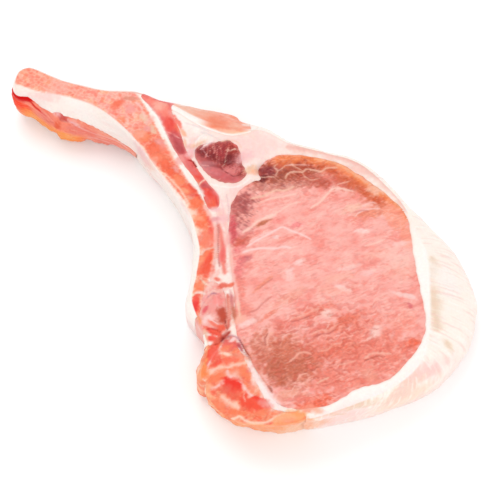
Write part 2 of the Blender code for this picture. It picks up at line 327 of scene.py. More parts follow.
@dataclass(frozen=True)
class ChopForm:
    """Sizes of the whole chop, in millimetres: sections, thickness, swells and hollows."""

    thickness: float = 19.0
    rounding: float = 0.8
    slant: tuple[float, float] = (1.0, 3.0)
    centre: tuple[float, float] = (1.5, -1.5)
    widest: float = 0.4
    steps: int = 10
    rib_end_drop: float = 1.5
    chine_drop: float = 2.6
    # Inner x, y, lean and outer x, y, lean of each section, from the rib end to the low fat edge.
    sections: tuple[tuple[float, ...], ...] = (
        (-71.1, 11.6, 1, -71.1, 11.6, 1), (-69.9, 7.6, 0.8, -69.6, 14.4, 0.8), (-67.8, 6.1, 0.3, -67, 15.3, 0.5),
        (-64.3, 7.3, 0.8, -63.5, 15.6, 0.5), (-56.5, 11, 5.8, -58, 16.3, 0.5), (-46, 12.9, 3.2, -47.6, 19, 1.8),
        (-36, 11.4, -0.8, -38.6, 23.1, 2.4), (-28.5, 8.8, -0.8, -32, 24.1, 2.2), (-22, 5.8, -1.8, -27.5, 25, 4.1),
        (-14, 2.3, -1.4, -19, 25, 7.6), (-6.8, -1, 0, -9.5, 27, 8), (-2.8, -4.5, 0.5, -3, 31.2, 3.7),
        (0.8, -8.5, 1.6, 6, 31.9, 2.2), (3.5, -14.5, 1.4, 15.5, 34.4, 2.8), (6.5, -21.5, 1.5, 26, 36.4, 3),
        (13.6, -27.2, -1, 39, 33, 2.7), (17.2, -31, 1.6, 46.7, 28.4, 5.7), (18.4, -36.4, 0.6, 54, 22.5, 9.8),
        (22, -40, -1.2, 59.5, 14, 13.5), (25.8, -42, -2.4, 64.5, 4.5, 11.5), (30.5, -43, -3, 67, -3.5, 6.3),
        (36, -42, -3.1, 65.3, -12, 2.3), (41.5, -39.3, -2.3, 59, -22, 0.3), (49, -33.8, -1.8, 49, -33.8, -1.8),
    )
    # Nicks in the side wall: x, y, half-width, depth.
    nicks: tuple[tuple[float, ...], ...] = ((20.6, -38.9, 0.9, 1.1), (49.6, -34.4, 1.2, 0.9))
    # Swells and hollows of the cut face: x, y, half-width along x, half-width along y, height.
    face_forms: tuple[tuple[float, ...], ...] = (
        (35, 2, 20, 22, 0.9), (-7, 18.5, 5, 3.5, -1.8), (-5, 13.5, 3.5, 2, 0.7), (3.2, 21, 1.5, 3.5, -1.1),
        (-8.5, 8, 3, 1.6, -0.6), (12, -28.5, 4, 2, -1.4), (14.5, -20, 3.5, 4, 0.6), (40, -34, 3, 2, -0.8),
        (66, -4, 4, 14, 0.5),
    )

    def ring(self) -> Array:
        """Draw the upper border of the side walls, as a curve through the ends of the sections.

        Returns:
            Rows of x, y and lean round the whole chop.
        """
        sections = np.array(self.sections)
        ring = closed_curve(np.vstack((sections[:, :3], sections[-2:0:-1, 3:])), self.steps)
        for x, y, width, depth in self.nicks:
            away = np.hypot(ring[:, 0] - x, ring[:, 1] - y)
            ring[:, :2] -= outward_normals(ring[:, :2]) * (depth * bell(away, width))[:, None]
        return ring

    def height(self, x: Array, y: Array) -> Array:
        """Height of the cut face: thickness plus bell-shaped swells, less two smooth falls.

        Args:
            x: Plan coordinate.
            y: Plan coordinate.

        Returns:
            Heights over the floor.
        """
        height = self.thickness + swells(self.face_forms, x, y)
        height -= self.rib_end_drop * ramp(-x, 30.0, 69.0)
        height -= self.chine_drop * ramp(-y, 30.0, 42.0) * ramp(-x, -50.0, -34.0)
        return height

    def side_offset(self, level: Array, lean: Array) -> Array:
        """How far the side stands out from the rim.

        The lean grows as a quarter sine wave down to the widest level, and the two edges are
        rounded by a cube law.

        Args:
            level: Share of the thickness, 1 at the rim.
            lean: Reach of the side at that place.

        Returns:
            Distance out from the rim.
        """
        swell = np.sin(0.5 * math.pi * np.minimum(1.0, (1.0 - level) / (1.0 - self.widest)))
        upper = np.clip((level - 0.85) / 0.15, 0.0, 1.0) ** 3
        lower = np.clip((0.14 - level) / 0.14, 0.0, 1.0) ** 3
        return lean * swell + self.rounding * (1.0 - upper - lower)

    def metres(self, points: Array) -> Array:
        """Points of the drawing, in millimetres, as points of the scene in metres."""
        return (points - np.array((*self.centre, 0.0))) * MM


FORM = ChopForm()


@dataclass(frozen=True)
class Bed:
    """Hollow of the rib's inner wall in which the thin muscle of the rib end lies.

    Borders are given as distance along the rim from the rib end against share of the
    thickness.
    """

    start: float = 1.3
    end: float = 43.0
    depth: float = 2.3
    upper: Points = (
        (0.2, 0.58), (2, 0.74), (4, 0.86), (8.6, 0.87), (12.2, 0.72), (15, 0.74), (18, 0.78), (22.6, 0.71),
        (29.8, 0.59), (34.1, 0.44), (38.1, 0.29), (45, 0.2),
    )
    lower: Points = (
        (0.2, 0.22), (4, 0.18), (7.2, 0.12), (10.8, 0.06), (13.8, 0.14), (16.8, 0.28), (18, 0.04), (24.5, 0.04),
        (26.5, 0.12), (30.3, 0.04), (34.9, 0.09), (45, 0.08),
    )

    def top(self, along: Array) -> Array:
        """Level of the muscle's upper border."""
        return np.interp(along, *np.array(self.upper).T)

    def foot(self, along: Array) -> Array:
        """Level of its torn lower border."""
        return np.interp(along, *np.array(self.lower).T)

    def hollow(self, along: Array, level: Array) -> Array:
        """Depth of the hollow: full below the upper border, none above it or past the ends.

        Args:
            along: Distance along the rim.
            level: Share of the thickness.

        Returns:
            How far the wall is set back.
        """
        ends = ramp(along, self.start, self.start + 3.2) * ramp(-along, -self.end, 7.0 - self.end)
        return self.depth * ends * ramp(self.top(along) - level, 0.0, 0.06)


BED = Bed()


class Layer(IntEnum):
    """Pieces in the order in which their outlines claim the cut face."""

    NOTHING = -1
    EYE = 0
    CAP = 1
    RIB_MUSCLE = 2
    OUTER_MUSCLE = 3
    CARTILAGE = 4
    CHINE = 5
    RIB = 6
    FAT = 7


class Face(IntEnum):
    """Which side of a piece a point lies on."""

    CUT = 0
    SIDE = 1
    UNDER = 2


# Outlines on the cut face with the raggedness of their borders: height and pitch of the waves.
OUTLINES: dict[Layer, tuple[Points, float, float]] = {
    Layer.EYE: ((
        (4.5, 18), (2.5, 20.5), (3.5, 24.5), (6.5, 27.5), (12.5, 30.5), (20.5, 33), (30.5, 32.5), (39.5, 30.8),
        (44, 28.6), (49.1, 22.2), (53.5, 16.5), (58.5, 10.5), (62, 6), (64, 0), (63, -8), (61, -14), (56, -19),
        (52.5, -25.5), (47.5, -30.5), (41.5, -33), (35.5, -31.5), (29, -27), (23.5, -24), (20, -21), (16, -14.5),
        (11.5, -8.5), (6.5, -1.5), (2, 6.5), (1.5, 12.5), (3, 16),
    ), 0.26, 2.2),
    Layer.CAP: ((
        (-14.5, 15), (-15, 17.5), (-12.5, 20.5), (-8.5, 23.5), (-5.5, 23), (-2, 19.5), (0.5, 17.5), (0, 14.5), (-3, 12),
        (-7, 11.5), (-11.5, 13),
    ), 0.28, 1.6),
    Layer.RIB_MUSCLE: ((
        (-36.5, 29), (-31.5, 31), (-28.8, 25.6), (-26.2, 22.2), (-21.6, 18.8), (-17.2, 14.8), (-11, 11.5), (-6.5, 9.5),
        (-2.5, 8), (-1, 5), (-3, 3.5), (-6.5, 6), (-10, 8.5), (-14.5, 10.5), (-19.5, 13), (-25, 16.5), (-30.5, 20),
        (-36, 22), (-38, 24),
    ), 0.16, 2),
    Layer.OUTER_MUSCLE: ((
        (-31, 24.6), (-24, 23.4), (-19, 23.1), (-14, 23.6), (-9, 25), (-5.5, 28), (-3.5, 31), (-4, 36), (-10, 44),
        (-22, 44), (-31, 36),
    ), 0, 2),
    Layer.CARTILAGE: ((
        (7.5, -15), (11, -13.5), (14.6, -16.5), (17.4, -21), (17.8, -24.2), (16, -26), (13, -26.3), (11, -24),
        (9.5, -20),
    ), 0.12, 1.8),
    Layer.CHINE: ((
        (13, -31), (17, -29), (20, -26.5), (23, -25.5), (27, -27.5), (31.5, -30.5), (36, -33.2), (39.5, -34.6),
        (42.6, -34), (45.5, -32.5), (48.5, -32.4), (51.5, -34), (57, -38), (44, -48), (28, -50), (14, -44), (8, -34),
    ), 0.18, 1.7),
    Layer.RIB: ((
        (-80, 12), (-74, 22), (-58, 26), (-46, 29), (-36, 30), (-31, 24), (-26, 19), (-20, 15), (-14.5, 12), (-9, 9.5),
        (-5, 7), (-1.5, 4.5), (2, 0), (5, -5.5), (6.5, -9), (7.5, -12), (8.5, -15), (10, -20), (11, -25), (6, -30),
        (-2, -24), (-8, -10), (-20, -4), (-32, 4), (-44, 4), (-60, 2), (-80, 2),
    ), 0.1, 2.2),
}
OUTLINE_STEPS = 8


def outline_of(layer: Layer) -> Array:
    """Outline of one piece on the cut face.

    A smooth closed curve, moved in and out along its normals by seeded texture, so that the
    border is as ragged as a real seam.

    Args:
        layer: The piece.

    Returns:
        Points of the closed outline.
    """
    points, height, pitch = OUTLINES[layer]
    loop = closed_curve(points, OUTLINE_STEPS)
    wobble = Grain(40 + int(layer)).fractal(loop[:, 0] / pitch, loop[:, 1] / pitch, 2)
    return loop + outward_normals(loop) * (height * wobble)[:, None]


@dataclass
class Site:
    """Where the points of a piece lie, for its relief and its painting.

    x and y are plan coordinates on the cut face, carried on over the side walls as if these
    were folded up level with it.  level is the share of the thickness, along the distance
    round the rim, edge the distance to the neighbouring piece, rim the distance to the rim,
    and face the side.
    """

    x: Array
    y: Array
    level: Array
    along: Array
    edge: Array
    rim: Array
    face: Array

    @property
    def z(self) -> Array:
        """Height over the floor, without swells."""
        return self.level * FORM.thickness

    def on(self, face: Face) -> Array:
        """1 on that side of the piece and 0 elsewhere."""
        return (self.face == face).astype(float)

    def unrolled(self) -> "Site":
        """The same points with distance along the rim and height in place of x and y."""
        return replace(self, x=self.along, y=self.z)


@dataclass
class CutFace:
    """The cut face as one square net, shared out among the pieces along their outlines.

    The net's corners are x = x0 + i*spacing, y = y0 + j*spacing.  A cell goes to the first
    outline that holds its middle.  Corners between two pieces are moved onto the border
    curve, and the free corners beside them are evened out.
    """

    form: ChopForm
    spacing: float = 0.29
    # How near the eye may come to the rim, and the reaches within which corners are moved onto
    # a border and onto the rim, as shares of the spacing.
    eye_margin: float = 0.7
    reach: float = 0.8
    rim_reach: float = 3.0
    smoothings: int = 3
    xy: Array = field(init=False)
    cells: Array = field(init=False)
    owner: Array = field(init=False)
    on_rim: Array = field(init=False)
    rim_place: Array = field(init=False)
    rim_distance: Array = field(init=False)
    claim_distance: Array = field(init=False)
    under_shift: Array = field(init=False)
    ring: Array = field(init=False)
    rim: Array = field(init=False)
    normals: Array = field(init=False)
    around: Array = field(init=False)

    def __post_init__(self) -> None:
        """Work out the net, its owners and its distances."""
        self.ring = self.form.ring()
        self.normals = outward_normals(self.ring[:, :2])
        self.rim = self.ring[:, :2] - self.normals * self.form.rounding
        step = np.linalg.norm(np.roll(self.rim, -1, 0) - self.rim, axis=1)
        self.around = np.concatenate(((0.0,), np.cumsum(step)))
        outlines = {layer: outline_of(layer) for layer in OUTLINES}

        low, high = self.rim.min(0) - self.spacing, self.rim.max(0) + self.spacing
        axes = [np.arange(low[k], high[k] + self.spacing, self.spacing) for k in (0, 1)]
        net = np.stack(np.meshgrid(*axes, indexing="ij"), axis=-1)
        owner = self.share_out(net, outlines)
        net, on_rim = self.snap(net, owner, outlines)

        rows, columns = net.shape[:2]
        index = np.arange(rows * columns).reshape(rows, columns)
        corners = np.stack((index[:-1, :-1], index[1:, :-1], index[1:, 1:], index[:-1, 1:]), axis=-1)
        kept = owner != Layer.NOTHING
        used, cells = np.unique(corners[kept], return_inverse=True)
        self.cells = cells.reshape(-1, 4)
        self.owner = owner[kept]
        self.xy = net.reshape(-1, 2)[used]
        self.on_rim = on_rim.ravel()[used]
        self.rim_distance, self.rim_place = nearest_on_line(self.xy, self.rim, True)
        self.claim_distance = np.stack(
            [nearest_on_line(self.xy, outlines[layer], True)[0] for layer in outlines]
        )
        self.under_shift = self.find_under_shift(outlines)

    def share_out(self, net: Array, outlines: dict[Layer, Array]) -> Array:
        """Give each cell of the net to a piece, then take away stray corners and spikes.

        Args:
            net: Corners of the net.
            outlines: Border curves, in the order in which they claim cells.

        Returns:
            The piece of each cell.
        """
        middle = 0.25 * (net[:-1, :-1] + net[1:, :-1] + net[1:, 1:] + net[:-1, 1:])
        flat = middle.reshape(-1, 2)
        owner = np.where(inside_loop(flat, self.rim), int(Layer.FAT), int(Layer.NOTHING))
        free = owner == Layer.FAT
        for layer, outline in outlines.items():
            rows = np.flatnonzero(free)
            if layer == Layer.EYE:
                rows = rows[nearest_on_line(flat[rows], self.rim, True)[0] > self.eye_margin]
            claimed = rows[inside_loop(flat[rows], outline)]
            owner[claimed] = layer
            free[claimed] = False
        owner = owner.reshape(middle.shape[:2])
        for _ in range(4):
            around = np.stack([np.roll(owner, shift, axis) for axis in (0, 1) for shift in (1, -1)])
            lonely = (around == owner).sum(0) < 2
            agreed = np.where((around[0] == around[1]) | (around[0] == around[2]), around[0], around[3])
            owner = np.where(lonely, agreed, owner)
            a, b, c, d = owner[:-1, :-1], owner[1:, :-1], owner[:-1, 1:], owner[1:, 1:]
            pinch = (a == d) & (b != a) & (c != a)
            b[pinch] = a[pinch]
            pinch = (b == c) & (a != b) & (d != b)
            a[pinch] = b[pinch]
        return owner

    def snap(self, net: Array, owner: Array, outlines: dict[Layer, Array]) -> tuple[Array, Array]:
        """Move corners between pieces onto the border curves and even out their neighbours.

        Args:
            net: Corners of the net.
            owner: Piece of each cell.
            outlines: Border curves.

        Returns:
            The moved corners, and which of them lie on the rim.
        """
        padded = np.pad(owner, 1, constant_values=int(Layer.NOTHING))
        about = np.stack((padded[:-1, :-1], padded[1:, :-1], padded[:-1, 1:], padded[1:, 1:]))
        some = about.max(0) > Layer.NOTHING
        outer = (about.min(0) == Layer.NOTHING) & some
        first = np.where(about == Layer.NOTHING, int(Layer.FAT), about).min(0)
        border = (about.min(0) != about.max(0)) & some
        net = net.copy()
        lines = {int(layer): outline for layer, outline in outlines.items()}
        for key, line in [(None, self.rim)] + list(lines.items()):
            chosen = outer if key is None else border & ~outer & (first == key)
            points = net[chosen]
            distance, place = nearest_on_line(points, line, True)
            foot = on_loop(line, place)
            near = distance < self.spacing * (self.rim_reach if key is None else self.reach)
            net[chosen] = np.where(near[:, None], foot, points)
        for _ in range(self.smoothings):
            mean = net.copy()
            mean[1:-1, 1:-1] = 0.25 * (net[:-2, 1:-1] + net[2:, 1:-1] + net[1:-1, :-2] + net[1:-1, 2:])
            net = np.where((some & ~border)[..., None], 0.5 * (net + mean), net)
        return net, outer

    def find_under_shift(self, outlines: dict[Layer, Array]) -> Array:
        """How far each corner moves on its way down to the underside.

        The grain leans, so the borders inside the chop move by the slant, and the rim moves
        out by its lean.  Between them the move is the mean of all, weighted by the inverse
        fourth power of the distance.

        Args:
            outlines: Border curves.

        Returns:
            A move in the plane for each corner.
        """
        slant = np.array(self.form.slant)
        under_muscle = inside_loop(self.rim, outlines[Layer.OUTER_MUSCLE])
        anchors = [self.rim[~under_muscle][::3]]
        foot = self.ring[:, 2] - BED.hollow(self.along_at(np.arange(len(self.ring))), np.zeros(len(self.ring)))
        moves = [(self.normals * foot[:, None])[~under_muscle][::3]]
        for layer in (Layer.EYE, Layer.CAP, Layer.RIB_MUSCLE, Layer.CARTILAGE, Layer.OUTER_MUSCLE, Layer.CHINE):
            inner = outlines[layer][::4]
            inner = inner[inside_loop(inner, self.rim)]
            inner = inner[nearest_on_line(inner, self.rim, True)[0] > 1.2]
            anchors.append(inner)
            moves.append(np.tile(slant, (len(inner), 1)))
        anchor, move = np.vstack(anchors), np.vstack(moves)
        shift = np.empty_like(self.xy)
        for rows in np.array_split(np.arange(len(self.xy)), 64):
            gap2 = ((self.xy[rows, None, :] - anchor[None]) ** 2).sum(2) + 0.01
            weight = gap2**-2
            shift[rows] = weight @ move / weight.sum(1, keepdims=True)
        kept = inside_loop(self.xy, outlines[Layer.EYE]) | (self.claim_distance[Layer.EYE] < 0.05)
        kept &= ~self.on_rim
        shift[kept] = slant
        on_muscle = (self.claim_distance[Layer.OUTER_MUSCLE] < 0.05) & ~self.on_rim
        shift[on_muscle] = slant
        place = self.rim_place[self.on_rim]
        foot = on_loop(self.ring[:, 2], place) - BED.hollow(self.along_at(place), np.zeros(len(place)))
        shift[self.on_rim] = on_loop(self.normals, place) * foot[:, None]
        return shift

    def along_at(self, place: Array) -> Array:
        """Distance along the rim, from the rib end, of places on it."""
        return np.interp(place, np.arange(len(self.around)), self.around)

    def wall(self, place: Array, level: Array) -> tuple[Array, Array]:
        """Find points of the plain side wall.

        Args:
            place: Places on the rim.
            level: Shares of the thickness.

        Returns:
            The points, and the outward directions in the plane.
        """
        base, normal = on_loop(self.rim, place), on_loop(self.normals, place)
        normal = normal / np.linalg.norm(normal, axis=1, keepdims=True)
        offset = self.form.side_offset(level, on_loop(self.ring[:, 2], place))
        z = self.form.height(base[:, 0], base[:, 1]) * level
        return np.column_stack((base + normal * offset[:, None], z)), normal

    def edge_distance(self, layer: Layer) -> Array:
        """Distance from each corner to the border of one piece with its neighbours."""
        last = min(int(layer), len(self.claim_distance) - 1)
        return self.claim_distance[: last + 1].min(0)


# ---------------------------------------------------------------- painting


WHITE: Colour = (253, 242, 236)
CREAM: Colour = (254, 222, 200)
BEIGE: Colour = (238, 196, 170)
BLUSH: Colour = (250, 196, 186)
PINK: Colour = (244, 160, 152)
ROSE: Colour = (226, 112, 110)
RED: Colour = (236, 82, 70)
VERMILION: Colour = (246, 112, 82)
ORANGE: Colour = (249, 138, 102)
AMBER: Colour = (252, 168, 130)
SALMON: Colour = (247, 132, 116)
WINE: Colour = (198, 84, 88)
BRICK: Colour = (218, 112, 94)
PALE: Colour = (252, 208, 202)
# Painted shade: the dark colour of the cracks in the eye muscle.
VEIN: Colour = (246, 196, 172)
CRACK_SHADE: Colour = (196, 102, 92)
FAWN: Colour = (228, 134, 114)
CORAL: Colour = (240, 136, 122)
EMBER: Colour = (238, 108, 82)
PEACH: Colour = (250, 180, 162)
MAROON: Colour = (136, 48, 50)
PLUM: Colour = (204, 104, 106)
APRICOT: Colour = (244, 196, 166)
SHELL: Colour = (246, 190, 190)
FLAME: Colour = (255, 140, 80)
THREAD: Colour = (253, 206, 190)
SIENNA: Colour = (238, 130, 112)
FILM: Colour = (252, 232, 222)


@dataclass(frozen=True)
class Stain:
    """A soft patch: an ellipse at x, y, turned by degrees, that may swell or sink as well."""

    x: float
    y: float
    long: float
    wide: float
    turn: float
    colour: Colour
    strength: float = 0.8
    height: float = 0.0

    def cover(self, x: Array, y: Array, ragged: Array) -> Array:
        """1 inside, falling to 0 at half as far again once texture has frayed the border.

        Args:
            x: Plan coordinate.
            y: Plan coordinate.
            ragged: The texture.

        Returns:
            Cover from 0 to 1.
        """
        c, s = math.cos(math.radians(self.turn)), math.sin(math.radians(self.turn))
        dx, dy = x - self.x, y - self.y
        reach = np.hypot((dx * c + dy * s) / self.long, (dy * c - dx * s) / self.wide)
        return ramp(reach + 0.35 * ragged, 1.45, 0.45)


@dataclass(frozen=True)
class Strand:
    """A vein, seam or crease on a smooth curve through points, with its half-width."""

    points: Points
    width: float
    colour: Colour
    strength: float = 1.0
    height: float = 0.0

    def cover(self, x: Array, y: Array, ragged: Array) -> Array:
        """exp(-(distance / half-width)^2), thick and thin by texture and fading at the ends.

        Args:
            x: Plan coordinate.
            y: Plan coordinate.
            ragged: The texture.

        Returns:
            Cover from 0 to 1.
        """
        plan = np.stack((x, y), axis=1)
        line = open_curve(self.points, 5)
        reach = 3.0 * self.width + 0.6
        rows = np.flatnonzero(((plan > line.min(0) - reach) & (plan < line.max(0) + reach)).all(1))
        cover = np.zeros(len(x))
        if len(rows):
            distance, place = nearest_on_line(plan[rows], line, False)
            taper = np.sqrt(np.clip(np.minimum(place, len(line) - 1 - place) / 2.0 + 0.25, 0.0, 1.0))
            width = self.width * taper * (1.0 + 0.5 * ragged[rows])
            cover[rows] = bell(distance, np.maximum(width, 0.05))
        return cover


Mark = Stain | Strand


def marks_of(*rows: tuple) -> tuple[Mark, ...]:
    """Make marks out of rows, each of which begins with its colour.

    A patch goes on with x, y, long, wide and turn, and may add strength and height.  A line
    goes on with half-width, strength and height, and ends with the x and y of its points in
    turn, as a tuple of their own.

    Args:
        rows: The rows, in the order in which they are laid.

    Returns:
        The marks in the same order.
    """
    return tuple(
        Strand(tuple(zip(row[4][::2], row[4][1::2])), row[1], row[0], *row[2:4])
        if isinstance(row[-1], tuple)
        else Stain(*row[1:6], row[0], *row[6:])
        for row in rows
    )


def raised(marks: Sequence[Mark], x: Array, y: Array, ragged: Array) -> Array:
    """Sum of the heights of the marks, each times its cover.

    Args:
        marks: The marks, of which some have a height.
        x: Plan coordinate.
        y: Plan coordinate.
        ragged: Texture that roughens their borders.

    Returns:
        The height at each point.
    """
    height = np.zeros(len(x))
    for mark in marks:
        if mark.height:
            height += mark.height * mark.cover(x, y, ragged)
    return height


class Canvas:
    """Colours of many points, laid one over another as display values from 0 to 255."""

    def __init__(self, site: Site, base: Colour) -> None:
        """Start from one colour all over."""
        self.site = site
        self.colour = np.tile(np.array(base, dtype=float), (len(site.x), 1))

    def lay(self, colour: Colour | Array, cover: Array) -> None:
        """Blend in one colour, or one for each point, by a cover from 0 to 1."""
        self.colour += (np.array(colour) - self.colour) * np.clip(cover, 0.0, 1.0)[:, None]

    def vary(self, amount: Array) -> None:
        """Make the colour lighter or darker by a share of itself."""
        self.colour *= 1.0 + amount[:, None]

    def draw(self, marks: Sequence[Mark], ragged: Array, on: Array | float = 1.0, site: Site | None = None) -> None:
        """Lay marks one over another.

        Args:
            marks: The patches and lines, in order.
            ragged: Texture that roughens their borders.
            on: Where they may show, from 0 to 1.
            site: Where the points lie, if not as on the canvas.
        """
        site = site or self.site
        for mark in marks:
            self.lay(mark.colour, mark.cover(site.x, site.y, ragged) * mark.strength * on)

    def light(self) -> Array:
        """Turn the colours into linear reflectance for the studio's light.

        The display curve is undone: c / 12.92 in the dark, ((c + 0.055) / 1.055)^2.4 above.

        Returns:
            Rows of red, green, blue and an alpha of 1.
        """
        share = np.clip(self.colour / 255.0, 0.0, 1.0)
        linear = np.where(share <= 0.04045, share / 12.92, ((share + 0.055) / 1.055) ** 2.4)
        linear = np.maximum(linear - SHEEN, 0.0) / LIGHT_LEVEL
        return np.column_stack((linear, np.ones(len(linear))))


# ---------------------------------------------------------------- finishes


def dial(node: bpy.types.Node, **values: float | tuple[float, ...]) -> bpy.types.Node:
    """Set inputs of a node.

    Args:
        node: The node.
        values: What each input is set to, by its name with an underscore for each space.

    Returns:
        The same node.
    """
    for name, value in values.items():
        node.inputs[name.replace("_", " ")].default_value = value
    return node


@dataclass(frozen=True)
class Finish:
    """Moist surface: gloss, wet coat, light inside the flesh, mottling and fine relief."""

    name: str
    rough: tuple[float, float] = (0.32, 0.5)
    specular: float = 0.3
    coat: float = 0.12
    coat_rough: float = 0.22
    refraction: float = 1.4
    inner_light: float = 0.12
    inner_reach: float = 0.9
    inner_colour: tuple[float, float, float] = (1.0, 0.45, 0.3)
    speckle: float = 0.03
    speckle_scale: float = 1400.0
    bump: float = 0.2
    bump_depth: float = 0.00012
    bump_scale: float = 900.0
    grain_turn: float = -50.0

    def material(self) -> bpy.types.Material:
        """Build the node material.

        The painted colour is mottled by fine noise; roughness and bump come from noise at
        two scales, turned along the grain by a Mapping node.

        Returns:
            The material.
        """
        made = bpy.data.materials.new(self.name)
        made.use_nodes = True
        nodes, links = made.node_tree.nodes, made.node_tree.links
        shader = dial(
            nodes["Principled BSDF"], IOR=self.refraction, Specular_IOR_Level=self.specular,
            Coat_Weight=self.coat, Coat_Roughness=self.coat_rough, Subsurface_Weight=self.inner_light,
            Subsurface_Radius=self.inner_colour, Subsurface_Scale=self.inner_reach * MM,
        )
        where = nodes.new("ShaderNodeTexCoord")
        grain = dial(nodes.new("ShaderNodeMapping"), Rotation=(0.0, 0.0, math.radians(self.grain_turn)))
        links.new(where.outputs["Object"], grain.inputs["Vector"])

        def noise(scale: float, detail: float) -> bpy.types.NodeSocket:
            """Noise along the grain at one scale."""
            node = dial(nodes.new("ShaderNodeTexNoise"), Scale=scale, Detail=detail)
            links.new(grain.outputs["Vector"], node.inputs["Vector"])
            return node.outputs["Fac"]

        def spread(value: bpy.types.NodeSocket, low: float, high: float) -> bpy.types.NodeSocket:
            """Noise stretched to run from low to high."""
            node = dial(nodes.new("ShaderNodeMapRange"), From_Min=0.3, From_Max=0.7, To_Min=low, To_Max=high)
            links.new(value, node.inputs["Value"])
            return node.outputs["Result"]

        paint = nodes.new("ShaderNodeAttribute")
        paint.attribute_name = "tint"
        mottled = nodes.new("ShaderNodeVectorMath")
        mottled.operation = "SCALE"
        fine, broad = noise(self.speckle_scale, 3.0), noise(self.bump_scale * 0.35, 2.0)
        links.new(paint.outputs["Color"], mottled.inputs[0])
        links.new(spread(fine, 1.0 - self.speckle, 1.0 + self.speckle), mottled.inputs["Scale"])
        links.new(mottled.outputs["Vector"], shader.inputs["Base Color"])
        links.new(spread(broad, *self.rough), shader.inputs["Roughness"])
        bump = dial(nodes.new("ShaderNodeBump"), Strength=self.bump, Distance=self.bump_depth)
        links.new(noise(self.bump_scale, 3.0), bump.inputs["Height"])
        links.new(bump.outputs["Normal"], shader.inputs["Normal"])
        return made


# ---------------------------------------------------------------- pieces


def make_object(
    name: str, points: Array, faces: list[list[int]], tint: Array, finish: Finish
) -> bpy.types.Object:
    """Put points and faces into a smooth-shaded object with its painted colours.

    Args:
        name: Name of the piece.
        points: Points of the drawing, in millimetres.
        faces: Point numbers of each face.
        tint: Colour of each point in linear light.
        finish: Its material.

    Returns:
        The linked object at the origin.
    """
    mesh = bpy.data.meshes.new(name)
    mesh.from_pydata(FORM.metres(points).tolist(), [], faces)
    layer = mesh.color_attributes.new("tint", "FLOAT_COLOR", "POINT")
    layer.data.foreach_set("color", tint.ravel())
    mesh.materials.append(finish.material())
    mesh.validate()
    mesh.shade_smooth()
    mesh.set_sharp_from_angle(angle=math.radians(70.0))
    item = bpy.data.objects.new(name, mesh)
    bpy.context.scene.collection.objects.link(item)
    return item


